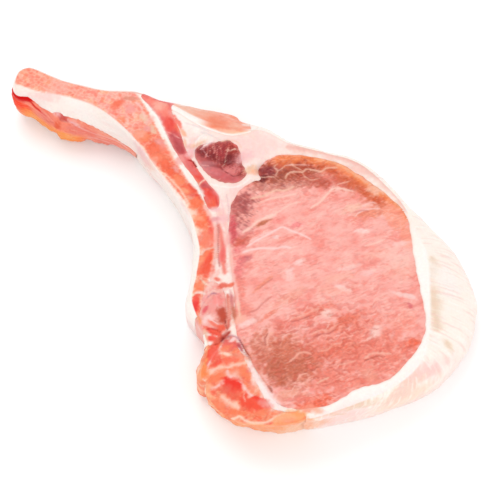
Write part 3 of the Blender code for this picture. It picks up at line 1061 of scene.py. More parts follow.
JOINT: tuple[Mark, ...] = marks_of(
    # spongy marrow of the rib's broad part
    (VERMILION, -41, 16.9, 2, 1.1, 69, 0.9, 0.1), (ORANGE, -37.3, 13.5, 1.3, 0.9, -11, 0.8, 0.1),
    (PINK, -37.2, 17.7, 1.7, 1.2, -1, 0.9), ((222, 140, 116), -38.9, 20.3, 2.5, 0.6, 25, 0.7),
    (BEIGE, -32.3, 17.2, 1.8, 1.1, -30, 0.9), (BEIGE, -28.6, 15.5, 1.5, 1, -26, 0.9),
    (BLUSH, 0.14, 0.7, 0.1, (-43.2, 13.8, -40.3, 13.4, -37.6, 13.2, -35.1, 12.3)),
    (BLUSH, 0.34, 0.9, 0.1, (-37.1, 20, -35.2, 19.7, -33.5, 18.6, -32.1, 17.3)),
    (WHITE, 0.28, 0.6, 0.1, (-35.4, 21, -33.5, 21.1, -31.5, 20.1)),
    # chain of lobes down the neck
    (ORANGE, -29.8, 12.2, 2.2, 1.7, 15, 1.4, 0.45), (PINK, -29.8, 14.8, 1.1, 0.9, 31, 0.9, 0.2),
    (PINK, -24.1, 12.6, 1.9, 1.4, -11, 1.2, 0.35), (VERMILION, -25.1, 10.6, 1.9, 1.4, -21, 1.4, 0.45),
    (ORANGE, -22.1, 9.1, 2.2, 1.3, 15, 1.4, 0.45), (VERMILION, -19.4, 8.3, 2, 1.2, -11, 1.4, 0.45),
    (PINK, -16.8, 8.3, 1.4, 1, -11, 1, 0.3), (VERMILION, -16.7, 7, 1.9, 1.1, -6, 1.3, 0.4),
    (ORANGE, -14.1, 6.2, 1.9, 1.2, -6, 1.4, 0.4), (VERMILION, -10.6, 5.2, 2.1, 1.3, -11, 1.3, 0.4),
    (AMBER, -10.9, 4.5, 1.3, 0.7, 4, 0.8, 0.1), (RED, -9.9, 6.6, 1.4, 0.7, -16, 0.6),
    (RED, -7, 3.6, 2.4, 1.4, -32, 1.2, 0.4), (ORANGE, -7.4, 2.3, 1.9, 0.7, -32, 1, 0.1),
    # walls of the neck
    (CREAM, 0.28, 0.8, 0.05, (-33.3, 11.6, -30.5, 9.8, -27.7, 9.4, -24.5, 7.5, -21.4, 6.2, -18, 5.8, -14.9, 5, -12, 4,
        -9.1, 2.3, -6.2, 0.7)),
    (WHITE, 0.6, 0.9, 0.12, (-33, 20.3, -29.8, 19.4, -27.1, 17.8, -24.6, 15.8, -22.1, 13.8, -20.1, 12.2, -17.3, 10.8,
        -14.5, 9.4, -11.9, 7.8, -9.3, 7.3, -6, 5.9)),
    (BEIGE, 0.22, 0.6, 0, (-24.5, 15.1, -21.4, 12.8, -18.7, 11, -15.9, 9.6)),
    # marrow of the neck
    (CREAM, 2.06, 0.8, 0, (-8.3, 3.2, -5.4, -0.2, -2.4, -3.4, 0, -7, 1.6, -10.9, 3.5, -14.7, 5.1, -17.8, 6.6, -20.9,
        7.8, -23.4)),
    ((250, 124, 88), -6.6, 2.9, 2, 1.7, 31, 1.2, 0.3), ((250, 124, 88), -2.8, -0.3, 2.2, 2, -68, 1.2, 0.35),
    ((246, 92, 76), -0.4, 0.3, 1.8, 0.7, -30, 0.9), (AMBER, -3.9, -0.5, 0.8, 1.7, -68, 0.7),
    (ORANGE, 0.7, -4.4, 2.9, 1.5, -85, 1.2, 0.35), (ORANGE, 6.3, -16.6, 1.9, 1.2, 10, 1.2, 0.3),
    ((246, 92, 76), 0.9, -1.4, 1.4, 0.9, -77), ((253, 208, 190), 0.28, 0.6, -0.2, (-2.1, -3.2, -0.5, -4, 0.1, -5.6)),
    ((250, 124, 88), 4.4, -9.7, 3.9, 1.8, -83, 1.3, 0.45), ((250, 124, 88), 6.5, -18.1, 1.3, 0.6, 52, 0.7),
    ((242, 84, 60), 4.8, -9.4, 2.9, 0.8, -81, 0.9, 0.1), (AMBER, 3.8, -11.6, 2.8, 0.7, -73),
    (BLUSH, 6.8, -10.5, 2.4, 0.5, -73), ((253, 208, 190), 0.4, 0.9, -0.25, (2, -9, 2.4, -7.1, 3.6, -5.8, 4.6, -4.8)),
    (CREAM, 0.34, 0.9, -0.25, (4.1, -14.5, 5.4, -14.5, 7.3, -15.1, 9.2, -15.1)),
    ((246, 92, 76), 8.2, -21, 2.3, 1.1, -66, 1.3, 0.4), ((234, 62, 60), 8.4, -21.6, 1.5, 0.6, -66),
    ((254, 222, 212), 0.4, 0.9, -0.2, (6.4, -18.8, 7.5, -17.9, 9, -17.6)),
    ((244, 152, 110), 11.1, -25, 1.2, 1.1, 31, 1.2, 0.3),
    # wall between marrow and the red tissue
    (BLUSH, 0.6, 0.9, 0.1, (-4.3, 3.4, -2.6, 2.4, -0.4, 1.2, 1.8, -0.8, 3.7, -3.5, 5.1, -6.3, 6.4, -8.8, 7.2, -11.2,
        8.2, -13.5)),
    (BLUSH, 1.38, 0.9, 0, (-0.4, 4.5, 1.4, 3.5, 2.9, 2.3)), (PINK, 0.28, 0.6, 0, (0.1, 2.3, 1.6, 0.7, 3.1, -2.2)),
    # red tissue between the wall and the fascia
    (CORAL, 0.8, 1, -0.1, (1.6, 1.1, 3.8, -1.3, 5.5, -3.6, 7.1, -5.9, 8.8, -8.2, 10.4, -10.1)),
    ((236, 108, 100), 0.4, 0.8, -0.1, (5.2, -2.6, 7.2, -5.1, 8.8, -7.4)),
    ((186, 96, 94), 0.14, 0.7, -0.15, (1.8, 0.8, 3, -1, 4.1, -3.2, 5.4, -5.3, 7, -7.7, 8.6, -9.6)),
    (BLUSH, 0.6, 0.9, 0.1, (2.7, 2.6, 4.7, 0.1, 6.6, -2.1, 8.7, -4.6, 10.6, -7.1, 12.4, -9.3, 14, -11.2, 15.8, -13,
        17.3, -14.9, 18.9, -16.8)),
    (PEACH, 0.28, 0.6, 0, (8.5, -4.3, 10.2, -6.6, 12, -8.8)),
    # fork of white fibres with red spots
    (BLUSH, 0.6, 0.9, 0.15, (8.8, -16.1, 8.9, -13.9, 8.8, -11.5, 8.5, -10)),
    ((240, 118, 100), 9.6, -12.5, 1, 0.5, 10, 0.9, -0.1), ((230, 98, 80), 11.8, -13.3, 1.4, 0.8, 42, 0.9, 0.1),
    (EMBER, 13.3, -12.2, 1.1, 0.6, 52, 0.9),
    (BLUSH, 0.4, 0.9, 0.25, (9.9, -21.4, 9.4, -19.5, 9.7, -17.5, 10.2, -16, 11.4, -15.5, 12.6, -15.7, 12.6, -14.2, 13.2,
        -13.1)),
    # Painted shadow: a violet-grey line under the arch of white fibres.
    ((190, 128, 144), 0.18, 0.8, -0.1, (9.9, -20.2, 10, -18.2, 10.6, -16.4, 11.7, -16.1, 12.8, -16.1)),
    ((250, 168, 164), 9.4, -18.8, 1.1, 0.5, 83),
    # nodule
    (PINK, 12.9, -19.1, 3.1, 2.4, -78, 1.3, 0.4), (PALE, 0.22, 0.7, 0.05, (11.8, -16.7, 13.7, -19.1, 14.9, -20.8)),
    ((230, 100, 106), 11.2, -21.4, 1.3, 0.6, -89, 0.9, -0.05), ((196, 84, 66), 15.9, -20.5, 2.1, 1.2, -51, 1.2, 0.35),
    ((220, 104, 88), 0.6, 0.9, 0, (14.1, -14.8, 16, -17.3, 17.5, -19.6, 18.9, -22.3)),
    (PEACH, 0.18, 0.8, 0.1, (14.9, -15.5, 16.3, -17.5, 18, -20.5)), (PLUM, 16, -15.7, 2.5, 0.5, -51),
    ((206, 116, 92), 18.2, -18.4, 2.3, 0.6, -51, 0.9), (VEIN, 0.34, 0.9, 0.1, (17.5, -15.1, 19.2, -17.3, 20.5, -19)),
    (PEACH, 20.4, -19, 2, 0.9, 62, 0.9), ((170, 70, 60), 0.22, 0.8, -0.3, (19.1, -23, 18, -22.1, 17.1, -21)),
    # red folds and the deep crease
    (PALE, 13.2, -23.3, 1.6, 1.2, 62, 1, 0.15), ((246, 128, 108), 15.8, -23.4, 2.5, 0.6, 6, 1.1, 0.25),
    (PALE, 0.22, 0.9, 0.2, (13.3, -22.9, 15.3, -23.1, 17.2, -22.9)),
    ((244, 88, 72), 16.1, -25.4, 2.8, 0.7, 4, 1.2, 0.3),
    ((200, 54, 50), 0.18, 0.7, -0.25, (14.2, -25.7, 15.9, -24.7, 18.1, -24.4)),
    ((244, 88, 72), 16.6, -27.1, 2.1, 0.7, 21, 1.1, 0.25), (VEIN, 14.9, -27.5, 0.9, 2, 31, 0.9),
    ((190, 66, 52), 0.6, 1, -0.45, (18.4, -27.8, 18.8, -26.4, 19.4, -24.8, 19.8, -23.2)),
    (MAROON, 0.28, 0.8, -0.3, (18.9, -27, 19.3, -25.4)),
    # backbone
    (CREAM, 1.03, 0.8, 0, (15.9, -29.8, 16.6, -34, 17.4, -36.3, 18.9, -37.7, 20.6, -37.5)),
    ((245, 90, 68), 18.8, -30.8, 4.3, 1.1, -86, 1.3, 0.45), ((236, 110, 90), 18.3, -27.1, 2, 0.7, 82, 1),
    ((252, 166, 110), 18.3, -35, 3, 1.3, -76, 1.2, 0.35),
    (PALE, 0.28, 0.9, 0.15, (20.3, -25.1, 20, -27.7, 19.6, -30.3, 19.6, -32.7, 19.9, -34.4, 20.7, -35.9)),
    ((238, 110, 100), 21.9, -25.8, 2, 1.6, 52, 1.2, 0.3), (ORANGE, 21.5, -27.1, 1.3, 0.7, 52),
    ((254, 220, 214), 21.6, -24.7, 1.1, 0.5, 62, 0.9, 0.15), ((196, 90, 96), 24.2, -25.2, 1.3, 0.5, -30, 0.9, -0.1),
    # Painted shade: a violet-grey line in the groove beside the raised pale patch.
    ((206, 140, 150), 0.28, 0.8, -0.1, (20, -24.5, 21, -23.7, 22.4, -23.5, 23.7, -23.9)),
    ((150, 66, 66), 0.22, 0.7, -0.25, (23.3, -23.7, 25, -24.7, 26.9, -25.9, 28.1, -26.7)),
    (CREAM, 0.6, 0.9, 0.2, (20.3, -30.3, 21.1, -29, 22.4, -28.6, 23.7, -28.3)),
    ((248, 120, 94), 23.3, -30, 3.6, 0.9, 45, 1.2, 0.35), ((245, 90, 68), 21.4, -31.9, 1.3, 0.6, 52, 0.9),
    ((248, 150, 124), 25.6, -27.5, 2, 0.7, 10, 0.9, 0.1), ((248, 150, 124), 32.3, -32.4, 0.8, 1.2, 31, 1.1, 0.25),
    ((253, 204, 184), 0.6, 0.9, 0.2, (21.1, -35.7, 21.5, -33.9, 22.8, -32.3, 24.6, -31.5, 25.1, -30.5, 26.6, -29.2,
        28.1, -27.9)),
    ((249, 132, 94), 23.7, -34.5, 3.2, 1.1, 52, 1.2, 0.35), ((249, 132, 94), 28.5, -30.4, 1.8, 1.4, -20, 1.3, 0.35),
    ((238, 110, 100), 29.5, -29, 1.3, 0.5, 82),
    (PALE, 0.6, 0.9, 0.2, (24.7, -32.3, 25.8, -33.2, 27.2, -32.7, 29, -33.2, 31, -34, 32.5, -34.6, 34.4, -34.6, 36.1,
        -34.4)),
    (PALE, 0.5, 0.8, 0.15, (22, -37.8, 23.7, -37.6, 24.8, -36.2, 25.6, -34.5, 26.8, -33.4)),
    ((240, 66, 54), 27.7, -34.8, 2.5, 1.7, 11, 1.4, 0.4), ((236, 110, 90), 26.8, -36.5, 1.6, 1.1, 52),
    (AMBER, 22, -39, 1.9, 1.1, 52, 1.1, 0.2), ((252, 190, 150), 23.8, -40.2, 2, 0.8, 1, 0.9),
    (ORANGE, 27.2, -40.8, 2.6, 1.1, -5, 1.2, 0.3),
    ((253, 204, 184), 0.89, 0.9, 0.15, (26.6, -38.5, 28.7, -38.8, 30.5, -38.8, 32, -38.7)),
    ((245, 90, 68), 32.1, -36.4, 1.6, 1.1, -69, 1.1, 0.2), ((245, 90, 68), 35.5, -35.9, 3.2, 1.7, 19, 1.4, 0.4),
    ((240, 66, 54), 35.8, -34.5, 1.9, 0.6, 11, 0.7), ((249, 132, 94), 32.4, -40, 2.2, 0.8, 21, 1.1, 0.2),
    ((253, 204, 184), 0.22, 0.7, 0.1, (31.3, -34.5, 31.7, -35.8, 32.8, -36.7)),
    (ORANGE, 38.2, -36.6, 2.2, 0.8, 41, 0.9),
    (CREAM, 0.4, 0.9, 0.25, (31.8, -42.2, 32.6, -41.6, 33.4, -40.5, 35.1, -40.7, 37, -40.3, 39.3, -39.1, 40.7, -37.7,
        41.8, -35.8, 43.1, -34.2)),
    ((252, 166, 110), 44.9, -34.8, 4.2, 1.8, 45, 1.2, 0.15), ((249, 132, 94), 45, -35.5, 2.2, 0.8, 31),
    ((252, 190, 150), 36.8, -41.2, 5.1, 0.6, 25, 0.9),
    ((254, 232, 228), 1.38, 0.9, 0.1, (31.2, -30, 33.6, -30.8, 35.7, -31.9, 38.3, -33, 41.1, -34)),
    ((254, 220, 214), 0.8, 0.9, 0.1, (28.4, -27.8, 30.9, -29.4, 33.4, -30.5)),
    ((120, 54, 50), 0.22, 0.8, -0.3, (35.6, -30.4, 36.6, -30.7, 37.5, -31.3)),
    (FAWN, 0.22, 0.8, -0.1, (25, -24.7, 28, -26.4, 30.3, -27.8, 33, -29.2, 35.6, -30.4, 37.7, -31.4)),
    # local tones
    ((250, 158, 134), 47.8, -30.2, 2.3, 1, 31), ((248, 190, 166), 50.1, -29.5, 1.5, 0.8, 31),
    ((240, 108, 102), 7, -6, 2.3, 0.8, -73), ((246, 170, 164), 6.2, -1.6, 2, 0.7, -76, 0.7),
    ((230, 146, 136), 16.3, -15.1, 1.9, 0.5, -73, 0.7), ((250, 140, 134), 12.7, -17.3, 1.6, 1.7, 31, 0.6),
    ((242, 98, 76), 17.4, -24, 2.1, 1.1, 52, 0.9, 0.15), ((242, 98, 76), 29.5, -36.4, 1.8, 1.6, 31, 0.7),
    ((242, 98, 76), 5.4, -11.9, 2.2, 2.2, 73), ((246, 104, 88), 19.8, -30.4, 1.6, 2.4, 31, 0.8, 0.2),
    (PEACH, 27, -32.3, 1.5, 1.3, 31, 0.6), (PEACH, -30.5, 12.3, 1.7, 1.5, 64, 0.6), (PEACH, -30.6, 22.8, 2.3, 1.8, 64),
    ((252, 144, 90), 18.6, -35.8, 1.5, 2.2, -88, 1.1), ((180, 78, 72), 19.7, -24.8, 1.6, 1.1, 77, 0.3),
    (SALMON, 0.9, -4.7, 2.3, 4.3, -58, 0.5), ((250, 128, 98), -22.6, 10, 2.9, 3.4, 84, 0.6),
    ((247, 184, 174), -57.7, 13.7, 4.4, 2.8, 53, 0.5), ((247, 184, 174), -30.6, 17.5, 1.7, 0.9, 85, 0.7),
    (PINK, 37.4, -34.7, 2, 1, 21, 0.7), (PINK, -17.1, 11.6, 2, 1.1, 89, 0.7), (BLUSH, -23.3, 6.1, 2.2, 1.4, 74, 0.6),
    ((251, 182, 146), 43.8, -35.4, 3.6, 1.3, 31, 0.6),
    # flank of the rib's muscle on the web
    (SALMON, -23.6, 20.8, 2.6, 0.6, -29, 1.2, 0.1), (AMBER, -20.7, 18.9, 1.4, 0.6, -31, 0.7, 0.1),
    (AMBER, -18.5, 16.5, 1.7, 0.4, -47, 0.5),
    # pale folds and creases round the small muscle, some creases with grey painted shade
    (SHELL, -16.3, 15.8, 1.4, 1.1, -11, 0.8, 0.1), (APRICOT, -15.5, 18.2, 2.4, 0.8, 61, 0.8, 0.15),
    (WHITE, -15.1, 19.8, 2.4, 0.6, 53, 0.6, 0.1),
    (SHELL, 0.4, 0.9, 0.3, (-14, 17.3, -13.5, 18.7, -12.9, 19.9, -12.1, 21)),
    (WHITE, 0.28, 0.8, 0.1, (-13.8, 18.3, -13.1, 20, -12.4, 21)),
    (SHELL, 0.16, 0.6, 0.1, (-13.6, 17.6, -12.4, 17.1, -11, 16.5)),
    # Painted shade: a grey line along a crease of the web.
    ((232, 214, 212), 0.28, 0.7, -0.1, (-22.1, 21.7, -20, 22.1, -17.6, 22.7, -14.5, 22.9)),
    (WHITE, 0.34, 0.9, 0.3, (-15.9, 17.5, -16, 19.8, -15.4, 21.3)),
    # Painted shade: a grey line along a crease of the web.
    ((232, 214, 212), 0.22, 0.6, -0.1, (-16.8, 21.5, -15, 22.2, -12.7, 22.2, -10.5, 22.4)),
    ((186, 48, 44), 0.16, 0.9, -0.35, (-15.2, 12.7, -14.2, 13, -13.1, 12.7, -12.1, 12)),
    (WHITE, 0.12, 0.9, 0.2, (-12.1, 12, -11.4, 12.2, -11.3, 12.7)), (SHELL, -15.5, 14.3, 1, 1.2, -40, 0.8, 0.2),
    (PINK, -15.2, 13.7, 0.6, 0.9, -30, 0.6),
    (APRICOT, 0.16, 0.6, -0.1, (-10.6, 22.1, -8.7, 23.6, -6.4, 24.2, -4.6, 23.3)),
    (SHELL, -2.8, 21.4, 1.7, 2.7, -45, 0.7), (SHELL, -1.4, 4.2, 1.5, 0.8, 31),
    (APRICOT, 0.8, 19.1, 1.1, 1.7, -31, 0.9, 0.2), (AMBER, 2.2, 19, 0.7, 1.3, -41, 0.5),
    (WHITE, 0.22, 0.8, 0.1, (-6.6, 9.7, -3.5, 10.6, -0.7, 11.9, 1.3, 14.5, 2.1, 17)),
    (SHELL, 0.22, 0.6, 0, (-4.2, 8.8, -1.6, 7.4, 1.2, 4.3, 3.4, 0.8)),
    # The grey-lilac line here is painted shade in the groove beside the pale folds.
    ((206, 164, 170), 0.16, 0.4, -0.1, (-1.1, 9.6, 1.5, 6.4, 3.5, 2.8)), (SHELL, 1.4, 2.5, 1.2, 2.3, -49, 0.7),
    ((210, 92, 104), 0.1, 1.7, 0.7, 1.5, -49, 0.3), (CREAM, -8.9, 26.2, 5.1, 0.7, 22, 0.5),
)


@dataclass
class CutPiece:
    """One piece of the cut face, carried down through the chop.

    The top is the net's own cells at the height of the cut face, rounded down at the
    borders.  Columns go down from its border to the underside, which has the same cells.
    """

    name: str
    slot: str
    layer: Layer
    finish: Finish
    levels: int = 6
    shoulder: float = 0.5
    shoulder_drop: float = 0.02
    gap: float = 0.004
    blend: float = 0.9
    under_lift: float = 0.15

    def relief(self, site: Site) -> Array:
        """Height of this piece over the plain form, on the cut face."""
        return np.zeros(len(site.x))

    def side_relief(self, site: Site) -> Array:
        """How far the side wall stands out beyond the plain form."""
        return np.zeros(len(site.x))

    def paint(self, site: Site) -> Canvas:
        """Colours of the piece."""
        raise NotImplementedError

    def film(self, site: Site, reach: Array) -> Array:
        """Cover of the fat that creeps over the wall in a wavy line.

        Args:
            site: Where the points lie.
            reach: Distance from where the fat begins.

        Returns:
            Cover from 0 to 0.9.
        """
        wave = Grain(57).fractal(site.along / 4.0, site.level * 5.0)
        low = ramp(site.level, 0.95, 0.8)
        return 0.9 * site.on(Face.SIDE) * low * ramp(reach + 2.2 * wave, 3.0, 0.6)

    def wall_levels(self) -> Array:
        """Share a column out from 1 to 0, with shorter steps at its two ends.

        Returns:
            Shares of the thickness, a blend of equal steps and half a cosine wave.
        """
        share = np.linspace(0.0, 1.0, self.levels + 1)
        eased = 0.5 * (1.0 - np.cos(math.pi * share))
        return 1.0 - (0.45 * share + 0.55 * eased)

    def build(self, net: CutFace) -> bpy.types.Object:
        """Make the closed mesh and its colours.

        Args:
            net: The shared cut face.

        Returns:
            The finished object.
        """
        cells = net.cells[net.owner == self.layer]
        used, top = np.unique(cells, return_inverse=True)
        top = top.reshape(-1, 4)
        count = len(used)
        edges = np.concatenate([top[:, (k, (k + 1) % 4)] for k in range(4)])
        code, reverse = edges[:, 0] * count + edges[:, 1], edges[:, 1] * count + edges[:, 0]
        edges = edges[~np.isin(code, reverse)]
        border = np.unique(edges)
        place = np.full(count, -1)
        place[border] = np.arange(len(border))

        xy = net.xy[used].copy()
        on_rim = net.on_rim[used]
        edge = net.edge_distance(self.layer)[used]
        rim_place = net.rim_place[used]
        along = net.along_at(rim_place)
        run = xy[edges[:, 1]] - xy[edges[:, 0]]
        inward = np.zeros((count, 2))
        for column in (0, 1):
            np.add.at(inward, edges[:, column], np.stack((-run[:, 1], run[:, 0]), axis=1))
        inward /= np.maximum(np.linalg.norm(inward, axis=1, keepdims=True), 1e-9)
        inward[on_rim] = 0.0
        xy += inward * self.gap

        def site_of(rows: Array, level: Array, face: Array) -> Site:
            """Collect where some of the points lie."""
            return Site(
                xy[rows, 0], xy[rows, 1], level, along[rows], edge[rows], net.rim_distance[used][rows], face
            )

        every = np.arange(count)
        crown = site_of(every, np.ones(count), np.full(count, int(Face.CUT)))
        drop = self.shoulder_drop * np.clip(1.0 - edge / self.shoulder, 0.0, 1.0) ** 2
        frayed = Grain(50).over(crown, 1.3)
        own = self.relief(crown) * ramp(edge, 0.0, self.blend)
        z_top = FORM.height(xy[:, 0], xy[:, 1]) + own - drop
        z_top += raised(JOINT, crown.x, crown.y, frayed)
        z_low = self.under_lift * np.clip(1.0 - edge / self.shoulder, 0.0, 1.0) ** 2
        z_low[on_rim] = 0.0
        low = xy + net.under_shift[used]

        levels = self.wall_levels()
        mid = levels[1:-1]
        rows = np.tile(border, len(mid))
        level = np.repeat(mid, len(border))
        side = np.where(on_rim[rows], int(Face.SIDE), int(Face.CUT))
        wall_site = site_of(rows, level, side)
        normal = on_loop(net.normals, rim_place[rows])
        depth = FORM.thickness * (1.0 - level) * on_rim[rows]
        wall_site.x, wall_site.y = xy[rows, 0] + normal[:, 0] * depth, xy[rows, 1] + normal[:, 1] * depth
        straight = xy[rows] + (low[rows] - xy[rows]) * (1.0 - level)[:, None]
        lean = on_loop(net.ring[:, 2], rim_place[rows])
        fade = np.clip(np.minimum(level, 1.0 - level) / 0.12, 0.0, 1.0)
        offset = FORM.side_offset(level, lean) + self.side_relief(wall_site) * fade
        offset -= BED.hollow(along[rows], level)
        leaning = xy[rows] + normal * offset[:, None]
        wall = np.where(on_rim[rows][:, None], leaning, straight)
        wall_z = z_top[rows] * level + z_low[rows] * (1.0 - level)

        points = np.vstack(
            (np.column_stack((xy, z_top)), np.column_stack((low, z_low)), np.column_stack((wall, wall_z)))
        )
        column = np.vstack(
            (border, 2 * count + np.arange(len(mid) * len(border)).reshape(len(mid), -1), border + count)
        )
        start, end = place[edges[:, 0]], place[edges[:, 1]]
        sides = [
            np.stack((column[k + 1, start], column[k + 1, end], column[k, end], column[k, start]), axis=1)
            for k in range(len(column) - 1)
        ]
        faces = np.vstack([top, (top + count)[:, ::-1]] + sides)
        site = Site(
            *(
                np.concatenate((getattr(crown, name), getattr(crown, name), getattr(wall_site, name)))
                for name in ("x", "y", "level", "along", "edge", "rim", "face")
            )
        )
        site.level[count : 2 * count] = 0.0
        site.face[count : 2 * count] = int(Face.UNDER)
        canvas = self.paint(site)
        canvas.draw(JOINT, Grain(50).over(site, 1.3), site.on(Face.CUT))
        return make_object(self.name, points, faces.tolist(), canvas.light(), self.finish)


BACKBONE_GAP: Points = (
    (20.4, -24.6), (23.4, -24.9), (26, -26), (28.1, -27), (30.2, -27.9), (32.7, -29.4), (35.9, -31.4), (38.2, -32.6),
)


@dataclass
class EyeMuscle(CutPiece):
    """The large round muscle: pale pink lean, browner above and below, with fine veins."""

    grain_turn: float = 50.0
    zones: tuple[Mark, ...] = marks_of(
        # dark top
        ((186, 88, 64), 9.3, 23, 9.3, 3.6, 40, 1.3, -0.05), (MAROON, 5, 20.7, 3.4, 2.3, 42, 1.2, -0.1),
        ((104, 34, 36), 4.7, 18.5, 1.4, 1.2, 31, 1.2, -0.3), ((196, 88, 52), 10.2, 26.8, 7.1, 1.5, 29, 1.1),
        ((170, 88, 64), 12, 24, 6.5, 2.2, 42), ((196, 92, 74), 17, 24.9, 5.9, 2, 22, 1),
        ((212, 134, 118), 11.3, 19.6, 7, 1.4, 37), ((196, 124, 112), 5.9, 16.1, 2.7, 1, 52),
        (BRICK, 24.4, 28.3, 3.8, 1.5, -1, 0.9),
        ((240, 130, 78), 1.65, 1, 0.05, (5, 25, 8.4, 27.7, 13.4, 30, 19.1, 32.1, 24.2, 31.8, 29.6, 31.1, 36, 30.7, 41.4,
            29.9, 43.9, 28.4)),
        ((206, 88, 52), 1.43, 0.9, -0.05, (16.5, 29.1, 20.2, 30.2, 24.8, 29.8, 29.6, 29, 34.1, 28.6, 37.1, 28.8)),
        ((246, 140, 92), 22.3, 32, 2.5, 1.1, 1),
        ((254, 190, 150), 0.6, 0.7, 0.05, (14.3, 30.7, 18.9, 32.5, 25.2, 32.4, 30.4, 31.9, 36.8, 31.6, 42.5, 30)),
        # left flank
        ((176, 84, 82), 3.9, 8.9, 3.8, 2.6, -87, 1), ((196, 104, 98), 4.3, 5.1, 4, 1.4, -68, 0.9),
        ((212, 84, 90), 5.9, 1.3, 4.6, 1.4, -54, 1.1), ((214, 100, 84), 9.5, 0.2, 3.3, 1.4, 68, 1, -0.05),
        ((236, 124, 122), 9.8, -2.9, 2.2, 1, 63, 0.7), (PLUM, 12.9, -4, 2.2, 0.8, 63, 0.8, -0.1),
        ((236, 124, 122), 12.9, -7.3, 4.4, 1.5, -62, 0.9), (CORAL, 16.1, -12.6, 4.4, 1.7, -62, 0.9),
        # middle
        ((196, 108, 80), 11.9, 7.6, 2.5, 0.6, 56, 1, -0.05), ((246, 140, 132), 14.7, 9.9, 2.7, 1, 52),
        ((242, 116, 120), 19.7, 11.3, 1.7, 0.9, 42), ((236, 138, 110), 35.1, 24.7, 4.6, 1.4, 44, 0.9, -0.05),
        ((236, 138, 110), 20.8, -6.8, 3.8, 0.5, 72, 0.6, -0.05), ((250, 158, 132), 41.5, 27, 4.6, 2.6, -32),
        ((250, 158, 132), 46.5, 24, 3.6, 1.6, -50, 0.7), (VEIN, 30.3, 23.4, 3.3, 1.1, 47, 0.7),
        (PALE, 12.4, 9.9, 1.6, 0.7, 52, 0.8, 0.05), (PALE, 16.8, 5.6, 1, 0.5, 42, 1, 0.1),
        (PALE, 25.7, 2.5, 1.8, 0.7, 62, 1, 0.1), (PALE, 25.1, -1.6, 2, 1.4, -88),
        (PALE, 35.8, 19, 2.4, 0.8, 37, 0.9, 0.05), (PALE, 37.4, 7.7, 3.2, 0.7, 44, 0.7),
        (PALE, 42.7, 9.6, 2.1, 1.1, 52, 0.6), (PALE, 38.5, 1.9, 1.9, 0.7, -1, 1, 0.1),
        (PALE, 46.2, 21.2, 2.7, 0.6, 39, 0.7), (PEACH, 36.5, 3.9, 4.8, 1.2, 42, 0.6),
        (PEACH, 49.3, 15.5, 3.7, 3.4, 31, 0.6), (PEACH, 43.1, 15.8, 4.8, 1.5, 39, 0.5),
        # lower half
        ((214, 120, 96), 36.5, -22, 9.5, 6.4, 10, 1.1, -0.1), ((198, 106, 82), 36.2, -25.7, 5.2, 3, -20, 0.9, -0.1),
        ((198, 106, 82), 41.1, -19.7, 4.7, 3, 52, 0.9), ((216, 126, 106), 29.3, -23.1, 3.7, 2.1, -20),
        (SIENNA, 49.1, -9.9, 12.5, 6.9, 41), (SIENNA, 57.4, -9.9, 9.9, 4.7, 46, 0.7),
        (SIENNA, 36.2, -7.2, 6.4, 1.4, 54, 0.9), ((232, 120, 98), 44.6, -5, 5.3, 1.5, 58, 0.9, -0.05),
        ((232, 120, 98), 46.1, -12.9, 5.8, 1.8, 47), (CORAL, 47.3, -0.2, 3.2, 1.1, 41, 0.7),
        (CORAL, 31.6, -14.8, 3.7, 1.2, 68, 0.7), ((232, 120, 98), 26.3, -14.1, 3.2, 0.6, 67, 0.7, -0.05),
        (EMBER, 48.4, -28.2, 5, 1.8, 53, 1.1), (EMBER, 62, -1.5, 2.3, 1.2, 51, 1),
        (SIENNA, 45.4, -28.2, 3.1, 1.4, 31), (SIENNA, 54.6, -18.4, 5.7, 1.6, 47, 0.9),
        (SIENNA, 61, -4.6, 3.2, 1.2, 71), (SIENNA, 48.6, -20.9, 5, 2.6, 51),
        ((242, 164, 144), 41.5, -29.6, 3.6, 1.4, 41, 1), ((242, 164, 144), 28.7, -6.9, 5.4, 1.4, 62, 0.6),
        ((242, 164, 144), 56.8, -14.4, 2.3, 1.9, -11, 0.6), ((248, 150, 134), 57.5, 2.8, 3.1, 3.3, 31),
        (PALE, 39.3, 2.1, 2.1, 0.7, 10, 1, 0.1), (PALE, 54.1, 9, 3.1, 0.7, 16, 0.9, 0.1),
        (PALE, 22.5, -18.9, 2.3, 0.9, 52, 0.9, 0.1), ((253, 204, 194), 39.4, -5.9, 1.8, 1.1, 41, 1, 0.1),
        ((253, 204, 194), 52.3, -3.9, 2.4, 1.4, 71, 1, 0.1), ((253, 204, 194), 46.8, 16.9, 4.2, 3.4, 31, 0.6),
        ((210, 92, 104), 56.6, 7.3, 1.1, 0.6, -32, 0.6), (VEIN, 19.9, -18.6, 1.4, 1.1, -88),
        (VEIN, 32.7, 31.2, 2.2, 1.7, 57, 0.7), (PEACH, 36.9, 0, 4.2, 1.3, 31, 0.5),
        ((224, 140, 136), 8.6, 3.2, 2.3, 2.4, 31, 0.7), (CORAL, 19.7, -16.2, 2.6, 2.3, 31),
        ((176, 72, 50), 12.4, 25.8, 3.4, 2.3, 52, 0.9),
    )
